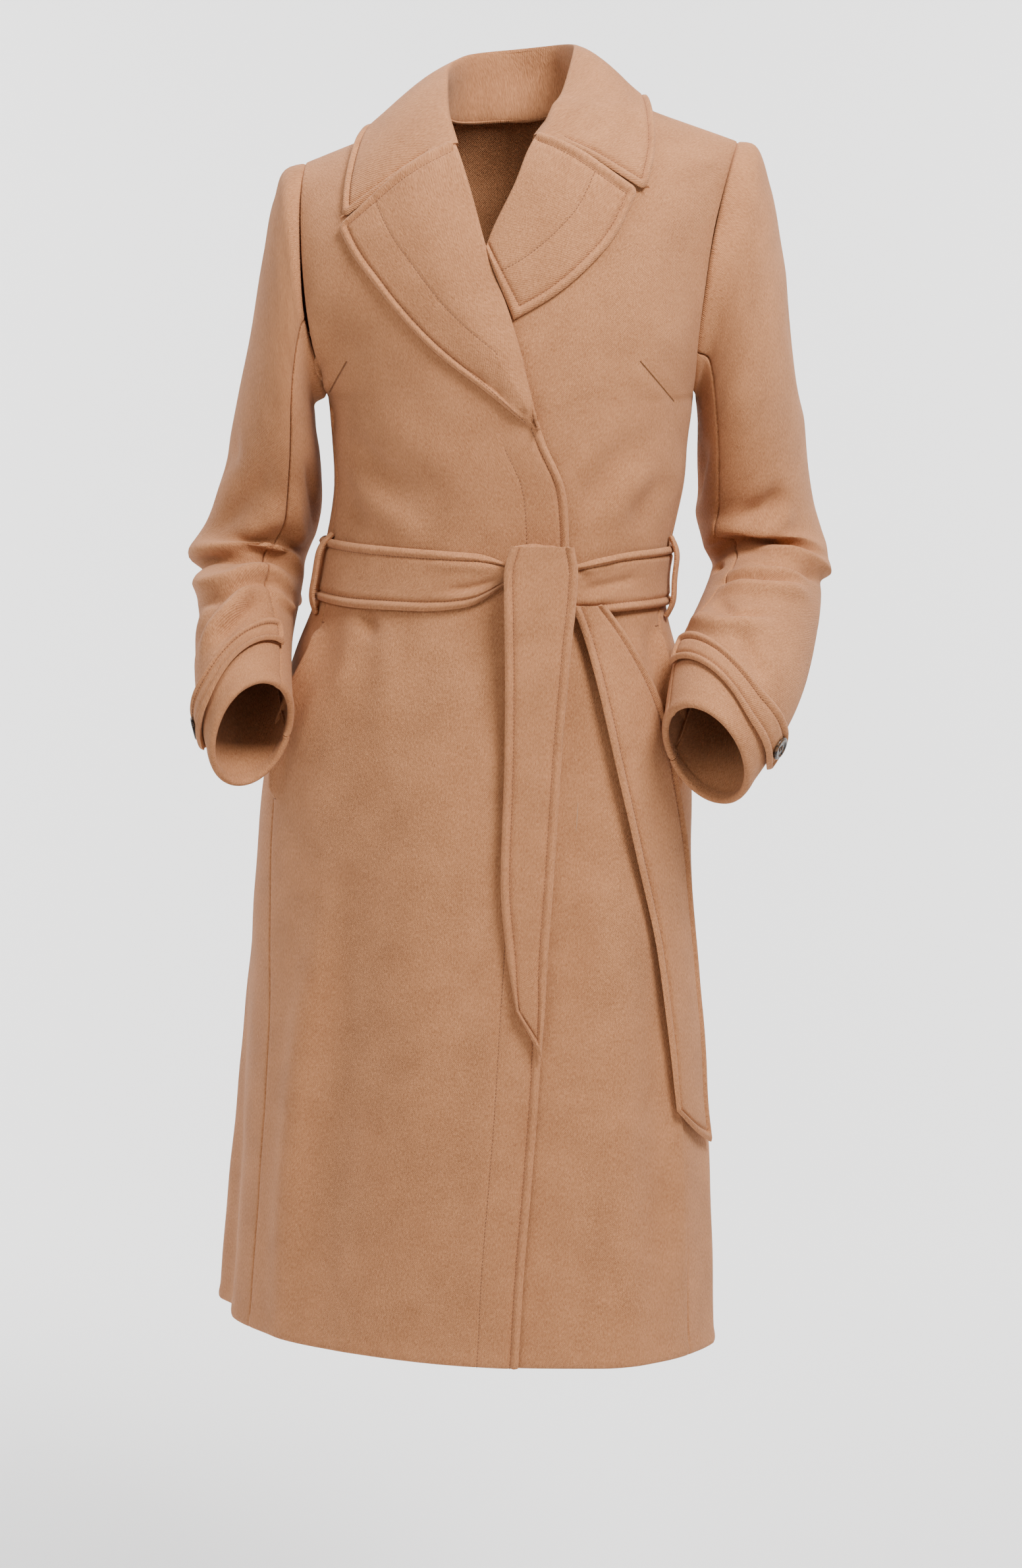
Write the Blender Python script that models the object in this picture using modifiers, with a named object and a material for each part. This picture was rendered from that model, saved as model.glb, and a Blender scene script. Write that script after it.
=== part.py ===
"""Women's wool wrap coat, hollow as worn, in metres, +Z up, wearer facing -Y.

The wearer's right is -X. The origin is at the base of the neck, where the coat is carried.
Each panel is a grid laid on one body surface, which a short table of sections describes.
"""
import bpy
import bmesh
from collections import namedtuple
from math import asin, cos, degrees, exp, pi, radians, sin, sqrt
from mathutils import Vector

# Cloth
WALL = 0.0025            # single cloth of fronts, back and sleeves
DOUBLE_WALL = 0.003      # collar, lapels, belt and straps, two layers pressed together
BAG_WALL = 0.0012        # pocket bag cotton
GAP = 0.0003             # between pieces at seams
CREST_CLEAR = 0.006      # how far under the shoulder's crest the body's form is read
SEAM_CELL = 0.008        # share of a panel taken by the narrow cells along its edges
SEAM_TURN = 0.05         # degrees each panel stops short of a side seam, which leaves GAP

# Heights
HEM = -1.058
UNDERARM = -0.235
SKIRT_ROWS = (           # heights of a panel's rows up to the underarm, closest at the waist
    HEM, -0.975, -0.900, -0.825, -0.750, -0.680, -0.620, -0.570, -0.525, -0.485, -0.450, -0.420,
    -0.394, -0.368, -0.340, -0.308, -0.272, UNDERARM)
YOKE_ROWS = 10           # rows between the underarm and the shoulder
SHOULDER_ROUND = 0.10    # how far below the shoulder line the cloth reaches full depth

# Closing
UNDERLAP_STEP = 0.0042   # how far the left front lies below the right one
UNDERLAP_REACH = 75.0    # degrees over which it comes back up
UNDERLAP_HOLD = 12.0     # degrees over which the whole step is kept

# Armhole
ARMHOLE_MIDDLE = 0.005
ARMHOLE_FRONT = 0.062
ARMHOLE_BACK = 0.068
PULL_FADE = 4            # how fast the armhole's pull on a panel dies away towards the centre
LOW_PULL_FADE = 16       # what is added to it beside the underarm
LOW_PULL_SHARE = 0.45    # the lower share of the height in which it applies

# Pocket mouth in the side seam
POCKET_TOP = -0.432
POCKET_END = -0.590
POCKET_GAPE = 0.009
POCKET_GAPE_WIDTH = 0.28 # share of the front over which the mouth's edge comes back to the body

Section = namedtuple("Section", "height centre half_width middle front back skew")
BODY = [
    Section(-1.058, -0.0450, 0.2150, 0.035, 0.160, 0.165, -0.30),
    Section(-0.850, -0.0375, 0.2045, 0.026, 0.155, 0.155, -0.26),
    Section(-0.650, -0.0345, 0.1915, 0.018, 0.147, 0.145, -0.22),
    Section(-0.550, -0.0300, 0.1860, 0.012, 0.140, 0.137, -0.19),
    Section(-0.476, -0.0240, 0.1720, 0.006, 0.130, 0.125, -0.17),
    Section(-0.385, -0.0160, 0.1490, 0.003, 0.118, 0.107, -0.15),
    Section(-0.300, -0.0020, 0.1515, 0.002, 0.128, 0.108, -0.12),
    Section(-0.235, -0.0005, 0.1575, 0.001, 0.138, 0.112, -0.09),
    Section(-0.150, 0.0070, 0.1900, 0.000, 0.135, 0.115, -0.07),
    Section(-0.050, 0.0080, 0.2050, 0.000, 0.118, 0.108, -0.05),
    Section(0.060, 0.0080, 0.2100, 0.000, 0.108, 0.100, -0.04),
]

Crest = namedtuple("Crest", "x height")
SHOULDER_LINE = [
    Crest(-0.230, -0.055), Crest(-0.176, -0.035), Crest(-0.120, -0.013), Crest(-0.066, 0.008),
    Crest(0.000, 0.030), Crest(0.070, 0.026), Crest(0.130, 0.005), Crest(0.194, -0.017),
    Crest(0.240, -0.034),
]
NECK_RIGHT = -0.066      # neck end of the wearer's right shoulder seam
NECK_LEFT = 0.070
BACK_NECK_DIP = 0.024

ArmEdge = namedtuple("ArmEdge", "share right left")
ARMHOLE_X = [            # across, from the underarm (0) up to the shoulder (1)
    ArmEdge(0.00, -0.1571, 0.1561), ArmEdge(0.18, -0.1670, 0.1590), ArmEdge(0.37, -0.1740, 0.1640),
    ArmEdge(0.60, -0.1775, 0.1710), ArmEdge(0.84, -0.1790, 0.1830), ArmEdge(1.00, -0.1760, 0.1940),
]

FrontEdge = namedtuple("FrontEdge", "height right left")
FRONT_EDGES = [          # overlap edge and roll line of the right front, underlap of the left
    FrontEdge(-1.058, 0.0060, -0.083), FrontEdge(-0.966, 0.0115, -0.081),
    FrontEdge(-0.850, 0.0214, -0.078), FrontEdge(-0.766, 0.0263, -0.076),
    FrontEdge(-0.500, 0.0420, -0.069), FrontEdge(-0.355, 0.0489, -0.060),
    FrontEdge(-0.323, 0.0473, -0.056), FrontEdge(-0.291, 0.0400, -0.051),
    FrontEdge(-0.266, 0.0263, -0.046), FrontEdge(-0.2175, 0.0120, -0.040),
    FrontEdge(-0.172, -0.0016, -0.034), FrontEdge(-0.113, -0.0225, -0.021),
    FrontEdge(-0.057, -0.0380, 0.0055), FrontEdge(-0.027, -0.0480, 0.0180),
    FrontEdge(-0.005, -0.0590, 0.0370), FrontEdge(0.008, -0.0660, 0.0560),
    FrontEdge(0.026, -0.0700, 0.0700),
]

SeamAngle = namedtuple("SeamAngle", "height right left")
SIDE_SEAMS = [           # degrees from centre front to each side seam
    SeamAngle(-1.058, -61.0, 68.0), SeamAngle(-0.800, -61.0, 64.0), SeamAngle(-0.590, -68.0, 66.0),
    SeamAngle(-0.450, -64.0, 68.0), SeamAngle(-0.385, -72.0, 76.0), SeamAngle(-0.300, -79.0, 85.0),
    SeamAngle(-0.235, -84.0, 94.0),
]

Flute = namedtuple("Flute", "angle width depth start")
FLUTES = [               # soft vertical folds, which deepen from their start down to the hem
    Flute(-86.0, 7.0, -0.010, -0.62), Flute(-101.0, 8.0, 0.012, -0.55),
    Flute(-116.0, 8.0, -0.011, -0.60), Flute(-131.0, 9.0, 0.013, -0.52),
    Flute(-155.0, 10.0, -0.009, -0.58), Flute(174.0, 10.0, 0.012, -0.50),
    Flute(151.0, 9.0, -0.009, -0.60), Flute(128.0, 9.0, 0.012, -0.54),
    Flute(106.0, 8.0, -0.009, -0.62), Flute(86.0, 8.0, 0.008, -0.66),
    Flute(-38.0, 9.0, 0.004, -0.70), Flute(40.0, 9.0, 0.004, -0.70),
]

LapelRow = namedtuple("LapelRow", "roll_height edge_x edge_height")
LAPEL_RIGHT = [
    LapelRow(-0.2560, 0.0160, -0.2580), LapelRow(-0.2200, -0.0180, -0.2300),
    LapelRow(-0.1720, -0.0620, -0.1960), LapelRow(-0.1130, -0.1070, -0.1470),
    LapelRow(-0.0600, -0.1340, -0.1110), LapelRow(-0.0290, -0.1416, -0.0955),
]
LAPEL_LEFT = [
    LapelRow(-0.1120, 0.0020, -0.1690), LapelRow(-0.0900, 0.0350, -0.1500),
    LapelRow(-0.0680, 0.0650, -0.1250), LapelRow(-0.0450, 0.0880, -0.0980),
    LapelRow(-0.0235, 0.1020, -0.0690),
]
LAPEL_ROLL = 0.0045      # how far the lapel stands off the front beside its roll
LAPEL_FULL_WIDTH = 0.03  # a lapel narrower than this rolls less
LAPEL_ROLL_WIDTH = 0.71  # share of the lapel's width under that roll
LAPEL_CLEAR = {"right": 0.0015, "left": 0.0008}  # between the front and the lapel's edges

CollarRow = namedtuple("CollarRow", "u base_x base_y base_z roll_x roll_y roll_z edge_x edge_y edge_z")
COLLAR = [               # neck seam, roll and leaf edge; the edge rests on the coat
    CollarRow(0.00, -0.0430, -0.0830, -0.0260, -0.0460, -0.0925, -0.0215, -0.1430, None, -0.0790),
    CollarRow(0.15, -0.0550, -0.0420, -0.0020, -0.0520, -0.0560, 0.0130, -0.1400, None, -0.0500),
    CollarRow(0.30, -0.0590, 0.0060, 0.0120, -0.0520, -0.0050, 0.0420, -0.1220, 0.010, -0.0060),
    CollarRow(0.42, -0.0370, 0.0580, 0.0100, -0.0360, 0.0500, 0.0580, -0.0720, 0.078, -0.0110),
    CollarRow(0.50, 0.0020, 0.0730, 0.0110, 0.0010, 0.0660, 0.0640, 0.0020, 0.093, -0.0090),
    CollarRow(0.58, 0.0420, 0.0580, 0.0210, 0.0380, 0.0500, 0.0670, 0.0760, 0.076, 0.0040),
    CollarRow(0.70, 0.0660, 0.0060, 0.0290, 0.0520, -0.0050, 0.0620, 0.1150, 0.006, 0.0170),
    CollarRow(0.85, 0.0440, -0.0480, 0.0060, 0.0400, -0.0600, 0.0200, 0.1210, None, -0.0200),
    CollarRow(1.00, 0.0170, -0.0840, -0.0190, 0.0200, -0.0935, -0.0140, 0.1150, None, -0.0560),
]

LEAF_LIFT_SHARE = 0.30   # how far out from the roll the leaf stands highest
LEAF_FLAT_SHARE = 0.28   # share of the collar at each end that lies flat in front
STAND_SHARE = 0.30       # share of the collar's width that stands against the neck
LEAF_CLEAR = 0.0085      # from the coat to the top of the collar leaf
ROLL_RISE = 0.004        # how far the leaf rises past the roll before it falls
FRONT_LEAF_FORWARD = 0.012
FRONT_LEAF_RISE = 0.006

Ring = namedtuple("Ring", "outer_x outer_z inner_x inner_z middle_y depth pitch turn")
SLEEVE_RIGHT = [         # outer and inner edge of the sleeve seen from the front, then its depth
    Ring(-0.195, -0.044, -0.1690, -0.2400, 0.006, 0.068, 0, 0),
    Ring(-0.210, -0.094, -0.1700, -0.2480, 0.010, 0.071, -4, 0),
    Ring(-0.222, -0.165, -0.1690, -0.2650, 0.015, 0.071, -8, 0),
    Ring(-0.234, -0.219, -0.1660, -0.2880, 0.027, 0.068, -12, 0),
    Ring(-0.248, -0.278, -0.1650, -0.3200, 0.048, 0.065, -14, 0),
    Ring(-0.259, -0.320, -0.1690, -0.3450, 0.064, 0.062, -12, 0),
    Ring(-0.271, -0.350, -0.1740, -0.3600, 0.072, 0.060, -4, 0),
    Ring(-0.280, -0.370, -0.1800, -0.3740, 0.070, 0.060, 6, 0),
    Ring(-0.271, -0.387, -0.1830, -0.3880, 0.058, 0.057, 14, 2),
    Ring(-0.276, -0.406, -0.1840, -0.4020, 0.040, 0.058, 22, 4),
    Ring(-0.270, -0.428, -0.1880, -0.4180, 0.017, 0.055, 30, 7),
    Ring(-0.273, -0.452, -0.1910, -0.4340, -0.007, 0.055, 35, 10),
    Ring(-0.269, -0.482, -0.1920, -0.4500, -0.034, 0.053, 38, 15),
    Ring(-0.262, -0.518, -0.1920, -0.4640, -0.060, 0.051, 39, 20),
    Ring(-0.247, -0.558, -0.1920, -0.4800, -0.086, 0.048, 39, 25),
]
SLEEVE_LEFT = [
    Ring(0.2130, -0.026, 0.1590, -0.2390, 0.006, 0.068, 0, 0),
    Ring(0.2300, -0.090, 0.1605, -0.2480, 0.010, 0.071, -4, 0),
    Ring(0.2417, -0.160, 0.1615, -0.2650, 0.015, 0.071, -8, 0),
    Ring(0.2510, -0.225, 0.1620, -0.2880, 0.023, 0.068, -10, 0),
    Ring(0.2590, -0.290, 0.1620, -0.3180, 0.036, 0.065, -10, 0),
    Ring(0.2660, -0.330, 0.1620, -0.3390, 0.046, 0.062, -6, 0),
    Ring(0.2740, -0.356, 0.1680, -0.3560, 0.050, 0.060, 0, 0),
    Ring(0.2780, -0.374, 0.1770, -0.3720, 0.045, 0.060, 8, 0),
    Ring(0.2690, -0.391, 0.1740, -0.3880, 0.022, 0.057, 16, 2),
    Ring(0.2680, -0.412, 0.1660, -0.4040, -0.006, 0.057, 24, 4),
    Ring(0.2620, -0.436, 0.1560, -0.4200, -0.038, 0.054, 31, 7),
    Ring(0.2540, -0.462, 0.1450, -0.4370, -0.070, 0.054, 36, 10),
    Ring(0.2420, -0.492, 0.1370, -0.4560, -0.099, 0.052, 38, 14),
    Ring(0.2220, -0.528, 0.1330, -0.4760, -0.125, 0.050, 38, 17),
    Ring(0.1920, -0.566, 0.1310, -0.4960, -0.146, 0.047, 38, 20),
]
SleeveSeam = namedtuple("SleeveSeam", "along right left")
FRONT_SEAM = [           # degrees from a sleeve's outer edge to its front seam, down the sleeve
    SleeveSeam(0.00, 110.0, 131.0), SleeveSeam(0.60, 110.0, 131.0), SleeveSeam(0.70, 121.0, 139.0),
    SleeveSeam(0.78, 141.0, 157.0), SleeveSeam(0.86, 163.0, 173.0), SleeveSeam(1.00, 173.0, 180.0),
]
BACK_SEAM = 242.0
SLEEVE_SEAM_GAP = 0.0008 # at the outer face, which leaves GAP where the walls lean together
ARMHOLE_CLEAR = 0.0007   # from the armhole to the sleeve head, at the shoulder
UNDERARM_CLEAR = 0.0016  # added to it at the underarm

BELT_CLEAR = 0.0012      # between the coat and the belt
BeltEdge = namedtuple("BeltEdge", "angle top bottom")
BELT = [                 # from the knot's left side round the back to its right side
    BeltEdge(25.0, -0.3740, -0.4120), BeltEdge(31.0, -0.3690, -0.4150),
    BeltEdge(50.0, -0.3620, -0.4130), BeltEdge(80.0, -0.3600, -0.4120),
    BeltEdge(180.0, -0.3600, -0.4120), BeltEdge(280.0, -0.3560, -0.4095),
    BeltEdge(315.0, -0.3585, -0.4130), BeltEdge(340.0, -0.3610, -0.4130),
    BeltEdge(356.0, -0.3640, -0.4060), BeltEdge(364.2, -0.3710, -0.3900),
]
KNOT_CENTRE = (0.0215, -0.3800)
KNOT_HALF = (0.0235, 0.0270, 0.0130)
KNOT_CLEAR = 0.0006
KNOT_MERGE = 0.00005
KNOT_TAPER = 0.08        # how much thinner the knot is at its sides

TailRow = namedtuple("TailRow", "height left right standoff")
TAIL_OVER = [            # the end that comes over the knot and hangs in front
    TailRow(-0.352, 0.0020, 0.0470, 0.0306), TailRow(-0.372, -0.0030, 0.0490, 0.0316),
    TailRow(-0.400, -0.0035, 0.0480, 0.0316), TailRow(-0.450, -0.0035, 0.0460, 0.0230),
    TailRow(-0.540, -0.0050, 0.0410, 0.0100), TailRow(-0.640, -0.0080, 0.0350, 0.0080),
    TailRow(-0.700, -0.0030, 0.0305, 0.0080), TailRow(-0.746, 0.0045, 0.0255, 0.0080),
]
TAIL_OVER_SLANT = -0.040 # how much lower its pointed corner is
TAIL_SLANT_SHARE = 0.16  # share of a tail's length that its slanted end takes
TAIL_UNDER = [
    TailRow(-0.408, 0.0500, 0.0770, 0.0077), TailRow(-0.440, 0.0610, 0.0980, 0.0080),
    TailRow(-0.480, 0.0710, 0.1170, 0.0100), TailRow(-0.520, 0.0800, 0.1290, 0.0100),
    TailRow(-0.615, 0.1010, 0.1440, 0.0095), TailRow(-0.700, 0.1200, 0.1530, 0.0070),
    TailRow(-0.840, 0.1380, 0.1650, 0.0070),
]
TAIL_UNDER_SLANT = -0.036

LOOP_HALF_WIDTH = 0.0045
LOOP_TOP = -0.351
LOOP_BOTTOM = -0.422
LOOP_STAND = 0.0105      # how far it stands out over the belt
LOOP_RISE_SHARE = 0.16   # share of its length in which it rises to that
LOOP_WALL = 0.002
LOOP_CLEAR = 0.0005
SIDE_RADIUS = 0.13       # of the waist, at the sides

STRAP_SEWN = (0.885, 0.822)   # its lower and upper edge in the seam, as shares of the sleeve's length
STRAP_ALONG = (0.968, 0.922)  # the same round the outside
STRAP_SETTLE = 0.62           # share of its length over which it comes down to that
STRAP_END = -4.0              # degrees round the sleeve at its point
STRAP_LIFT = 0.0006
STRAP_POINT_SHARE = 0.10      # share of its length that its pointed end takes
STRAP_POINT = 0.92            # how far its two edges come together there
BUTTON_RADIUS = 0.010
BUTTON_BACK = 0.9             # its outer face, as a share of its radius
BUTTON_THICKNESS = 0.0032
BUTTON_AT = 0.86              # share of the strap's length
BUTTON_CLEAR = 0.0004

BAG_SAG_START = 0.35     # where on its curve of sag a bag begins, at the seam
BAG_TOP = -0.440
BAG_BOTTOM = -0.700
BAG_TURN = (3.0, 38.0)        # degrees forward of the side seam
BAG_CLEAR = 0.0010
BAG_SAG = 0.012

CLOTH = ((0.56, 0.34, 0.20), 0.92)
BAG_COTTON = ((0.46, 0.30, 0.19), 0.85)
HORN = ((0.06, 0.035, 0.025), 0.35)


def read(rows, column, at):
    """Value of a named column at a place in the first column, on a smooth curve."""
    keys = [row[0] for row in rows]
    values = [getattr(row, column) for row in rows]
    at = min(max(at, keys[0]), keys[-1])
    i = 0
    while i < len(keys) - 2 and at > keys[i + 1]:
        i += 1
    span = keys[i + 1] - keys[i]
    share = (at - keys[i]) / span
    rise = values[i + 1] - values[i]

    def slope(k):
        if k == 0:
            return (values[1] - values[0]) / (keys[1] - keys[0])
        if k == len(keys) - 1:
            return (values[-1] - values[-2]) / (keys[-1] - keys[-2])
        before = (values[k] - values[k - 1]) / (keys[k] - keys[k - 1])
        after = (values[k + 1] - values[k]) / (keys[k + 1] - keys[k])
        if before * after <= 0.0:
            return 0.0
        return 2.0 * before * after / (before + after)

    start, end = slope(i) * span, slope(i + 1) * span
    return (values[i] + start * share + (3 * rise - 2 * start - end) * share ** 2
            + (start + end - 2 * rise) * share ** 3)


def mix(a, b, share):
    return a + (b - a) * share


def smooth(value):
    value = min(max(value, 0.0), 1.0)
    return value * value * (3.0 - 2.0 * value)


def bezier(a, b, c, share):
    return a * (1 - share) ** 2 + b * (2 * share * (1 - share)) + c * share ** 2


def rising(rows):
    """The same rows in rising order of their first column."""
    return sorted(rows, key=lambda row: row[0])


# The body surface

def crest(x):
    return read(SHOULDER_LINE, "height", x)


def flute(angle, height):
    out = 0.0
    for fold in FLUTES:
        away = (angle - fold.angle + 180.0) % 360.0 - 180.0
        growth = smooth((fold.start - height) / (fold.start - HEM))
        out += fold.depth * growth * exp(-(away / fold.width) ** 2)
    return out


def bare_point(angle, height):
    """A point on the coat's outside, angle in degrees from centre front towards the wearer's left."""
    turn = radians(angle)
    centre = read(BODY, "centre", height)
    reach = flute(angle, height)
    x = centre + (read(BODY, "half_width", height) + reach) * sin(turn)
    drop = min(max((crest(x) - height) / SHOULDER_ROUND, 0.0), 1.0)
    full = sqrt(1.0 - (1.0 - drop) ** 2)
    deep = read(BODY, "front" if cos(turn) > 0 else "back", height) + reach
    y = read(BODY, "middle", height) + read(BODY, "skew", height) * (x - centre) - deep * cos(turn) * full
    return Vector((x, y, height))


def body_point(angle, height, out=0.0):
    point = bare_point(angle, height)
    if out == 0.0:
        return point
    low = min(height, crest(point.x) - CREST_CLEAR)
    across = bare_point(angle + 0.5, low) - bare_point(angle - 0.5, low)
    up = bare_point(angle, low + 0.002) - bare_point(angle, low - 0.002)
    return point + across.cross(up).normalized() * out


def angle_at(x, height):
    """The angle of the point on the front that lies at this x."""
    share = (x - read(BODY, "centre", height)) / read(BODY, "half_width", height)
    return degrees(asin(min(max(share, -0.999), 0.999)))


def armhole_pull(x, height, behind):
    """How far the cloth is drawn in depth so that it meets the armhole, fading to the centre."""
    if height <= UNDERARM:
        return 0.0
    side = "right" if x < 0.0 else "left"
    top = crest(read(ARMHOLE_X, side, 1.0))
    share = min((height - UNDERARM) / (top - UNDERARM), 1.0)
    arm = armhole_point(side, share, behind)
    angle = angle_at(arm.x, arm.z)
    base = bare_point(180.0 - angle if behind else angle, arm.z)
    fade = PULL_FADE + LOW_PULL_FADE * (1.0 - smooth(share / LOW_PULL_SHARE))
    return (arm.y - base.y) * min(abs(x / arm.x), 1.0) ** fade


def coat_point(x, height, out=0.0, behind=False):
    """A point on the front or the back, by its place across and its height."""
    angle = angle_at(x, height)
    point = bare_point(180.0 - angle if behind else angle, height)
    point.y += armhole_pull(x, height, behind)
    if out == 0.0:
        return point
    low = min(height, crest(x) - CREST_CLEAR)
    hand = -1.0 if behind else 1.0
    across = coat_point(x + 0.002, low, 0.0, behind) - coat_point(x - 0.002, low, 0.0, behind)
    up = coat_point(x, low + 0.002, 0.0, behind) - coat_point(x, low - 0.002, 0.0, behind)
    return point + (across * hand).cross(up).normalized() * out


def keep_off(point, clear):
    """Lifts a point that would lie in the shoulders or the chest."""
    x, y, height = point
    behind = y > read(BODY, "middle", height)
    turn = radians(angle_at(x, height))
    deep = read(BODY, "back" if behind else "front", height) * cos(turn)
    line = read(BODY, "middle", height) + read(BODY, "skew", height) * (x - read(BODY, "centre", height))
    share = abs(y - line) / deep
    if share < 0.75:
        low = crest(x) - SHOULDER_ROUND * (1.0 - sqrt(1.0 - share ** 2)) + clear
        return Vector((x, y, max(height, low)))
    if height > crest(x) - 0.004:
        return Vector(point)
    wall = coat_point(x, height, clear, behind).y
    return Vector((x, max(y, wall) if behind else min(y, wall), height))


def underlap(angle):
    """How far the left front lies inside the right one."""
    return -UNDERLAP_STEP * (1.0 - smooth((angle - UNDERLAP_HOLD) / (UNDERLAP_REACH - UNDERLAP_HOLD)))


def underlap_at(x, height):
    """The same by place, dying away towards the neck, where both fronts are at one depth."""
    share = (height - UNDERARM) / (crest(NECK_LEFT) - UNDERARM)
    return underlap(angle_at(x, height)) * (1.0 - smooth(share * 1.2 - 0.2))


def armhole_point(side, share, behind):
    """On the armhole: share 0 at the underarm, 1 at the shoulder."""
    x = read(ARMHOLE_X, side, share)
    top = crest(read(ARMHOLE_X, side, 1.0))
    reach = ARMHOLE_BACK if behind else -ARMHOLE_FRONT
    start = bare_point(read(SIDE_SEAMS, side, UNDERARM), UNDERARM).y
    y = mix(start, ARMHOLE_MIDDLE, smooth(share)) + reach * 2.0 * sqrt(share * (1.0 - share))
    return Vector((x, y, mix(UNDERARM, top, share)))


# Laying cloth

def edged(share, cells):
    """Puts the outermost cells of a grid close to its edge, which keeps the seams parallel."""
    step = round(share * cells)
    if step in (0, cells):
        return step / cells
    return mix(SEAM_CELL, 1.0 - SEAM_CELL, (step - 1) / (cells - 2))


def material(name, look):
    surface = bpy.data.materials.get(name)
    if surface is None:
        surface = bpy.data.materials.new(name)
        surface.use_nodes = True
        shader = surface.node_tree.nodes["Principled BSDF"]
        shader.inputs["Base Color"].default_value = (*look[0], 1.0)
        shader.inputs["Roughness"].default_value = look[1]
        shader.inputs["Metallic"].default_value = 0.0
    return surface


def make_object(name, bm, look_name, look):
    mesh = bpy.data.meshes.new(name)
    bm.to_mesh(mesh)
    bm.free()
    mesh.shade_smooth()
    mesh.materials.append(material(look_name, look))
    piece = bpy.data.objects.new(name, mesh)
    coat.objects.link(piece)
    return piece


def lay_sheet(name, cells, place, wall=WALL, look_name="camel_wool", look=CLOTH, edges=(True, True)):
    """A grid of cloth whose points are set by place(u, v), with its wall on the inside."""
    bm = bmesh.new()
    bmesh.ops.create_grid(bm, x_segments=cells[0], y_segments=cells[1], size=0.5)
    for vert in bm.verts:
        u, v = vert.co.x + 0.5, vert.co.y + 0.5
        if edges[0]:
            u = edged(u, cells[0])
        if edges[1]:
            v = edged(v, cells[1])
        vert.co = place(u, v)
    piece = make_object(name, bm, look_name, look)
    thicken = piece.modifiers.new("wall", "SOLIDIFY")
    thicken.thickness = wall
    thicken.offset = -1.0
    return piece


# Fronts and back

YOKE_SHARES = [0.5 - 0.5 * cos(pi * row / YOKE_ROWS) for row in range(1, YOKE_ROWS)] + [0.998, 1.0]
PANEL_ROWS = len(SKIRT_ROWS) - 1 + len(YOKE_SHARES)


def split_rows(v):
    """The zone of a panel's row, with its height below the underarm or its share above."""
    step = round(v * PANEL_ROWS)
    if step < len(SKIRT_ROWS):
        return "skirt", SKIRT_ROWS[step]
    return "yoke", YOKE_SHARES[step - len(SKIRT_ROWS)]


def pocket_gape(height, from_seam):
    """The front edge of a pocket mouth stands off the back."""
    share = (height - POCKET_END) / (POCKET_TOP - POCKET_END)
    if not 0.0 < share < 1.0:
        return 0.0
    return POCKET_GAPE * sin(pi * share) ** 2 * (1.0 - smooth(from_seam / POCKET_GAPE_WIDTH))


def place_front(side):
    neck = NECK_RIGHT if side == "right" else NECK_LEFT

    def place(u, v):
        away = u if side == "right" else 1.0 - u      # 0 at the seam, 1 at the front edge
        zone, share = split_rows(v)
        if zone == "skirt":
            height = share
            seam = read(SIDE_SEAMS, side, height) + (SEAM_TURN if side == "right" else -SEAM_TURN)
            edge = angle_at(read(FRONT_EDGES, side, height), height)
            angle = mix(seam, edge, away)
            out = pocket_gape(height, away)
            if side == "left":
                out += underlap(angle)
            return body_point(angle, height, out)
        arm = armhole_point(side, share, False)
        top = mix(shoulder_x[side], neck, away)
        height = mix(UNDERARM, crest(top), share)
        first = angle_at(arm_start[side].x, UNDERARM)
        last = angle_at(read(FRONT_EDGES, side, UNDERARM), UNDERARM)
        low_x = bare_point(mix(first, last, away), UNDERARM).x
        low_end = read(FRONT_EDGES, side, UNDERARM)
        bunch = (low_x - arm_start[side].x) / (low_end - arm_start[side].x)
        edge_x = read(FRONT_EDGES, side, mix(UNDERARM, crest(neck), share))
        if share == 1.0:
            edge_x = neck
        x = mix(arm.x, edge_x, mix(bunch, away, share))
        out = underlap_at(x, height) if side == "left" else 0.0
        return coat_point(x, height, out) - Vector((0.0, GAP, 0.0)) * smooth(share)
    return place


def place_back(u, v):
    zone, share = split_rows(v)
    if zone == "skirt":
        height = share
        start = read(SIDE_SEAMS, "left", height) + SEAM_TURN
        end = 360.0 + read(SIDE_SEAMS, "right", height) - SEAM_TURN
        return body_point(mix(start, end, u), height)
    arm_left = armhole_point("left", share, True)
    arm_right = armhole_point("right", share, True)
    low = bare_point(mix(arm_angle("left"), 360.0 + arm_angle("right"), u), UNDERARM).x
    low_share = (low - arm_start["left"].x) / (arm_start["right"].x - arm_start["left"].x)
    top_x = mix(shoulder_x["left"], shoulder_x["right"], u)
    neck_share = (top_x - NECK_RIGHT) / (NECK_LEFT - NECK_RIGHT)
    dip = BACK_NECK_DIP * 4.0 * neck_share * (1.0 - neck_share) if 0.0 < neck_share < 1.0 else 0.0
    height = mix(UNDERARM, crest(top_x) - dip, share)
    x = mix(arm_left.x, arm_right.x, mix(low_share, u, share))
    return coat_point(x, height, 0.0, True) + Vector((0.0, GAP, 0.0)) * smooth(share)


def arm_angle(side):
    return read(SIDE_SEAMS, side, UNDERARM)


def build_body():
    lay_sheet("front_right", (12, PANEL_ROWS), place_front("right"), edges=(True, False))
    lay_sheet("front_left", (12, PANEL_ROWS), place_front("left"), edges=(True, False))
    lay_sheet("back", (28, PANEL_ROWS), place_back, edges=(True, False))


# Lapels and collar

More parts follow.
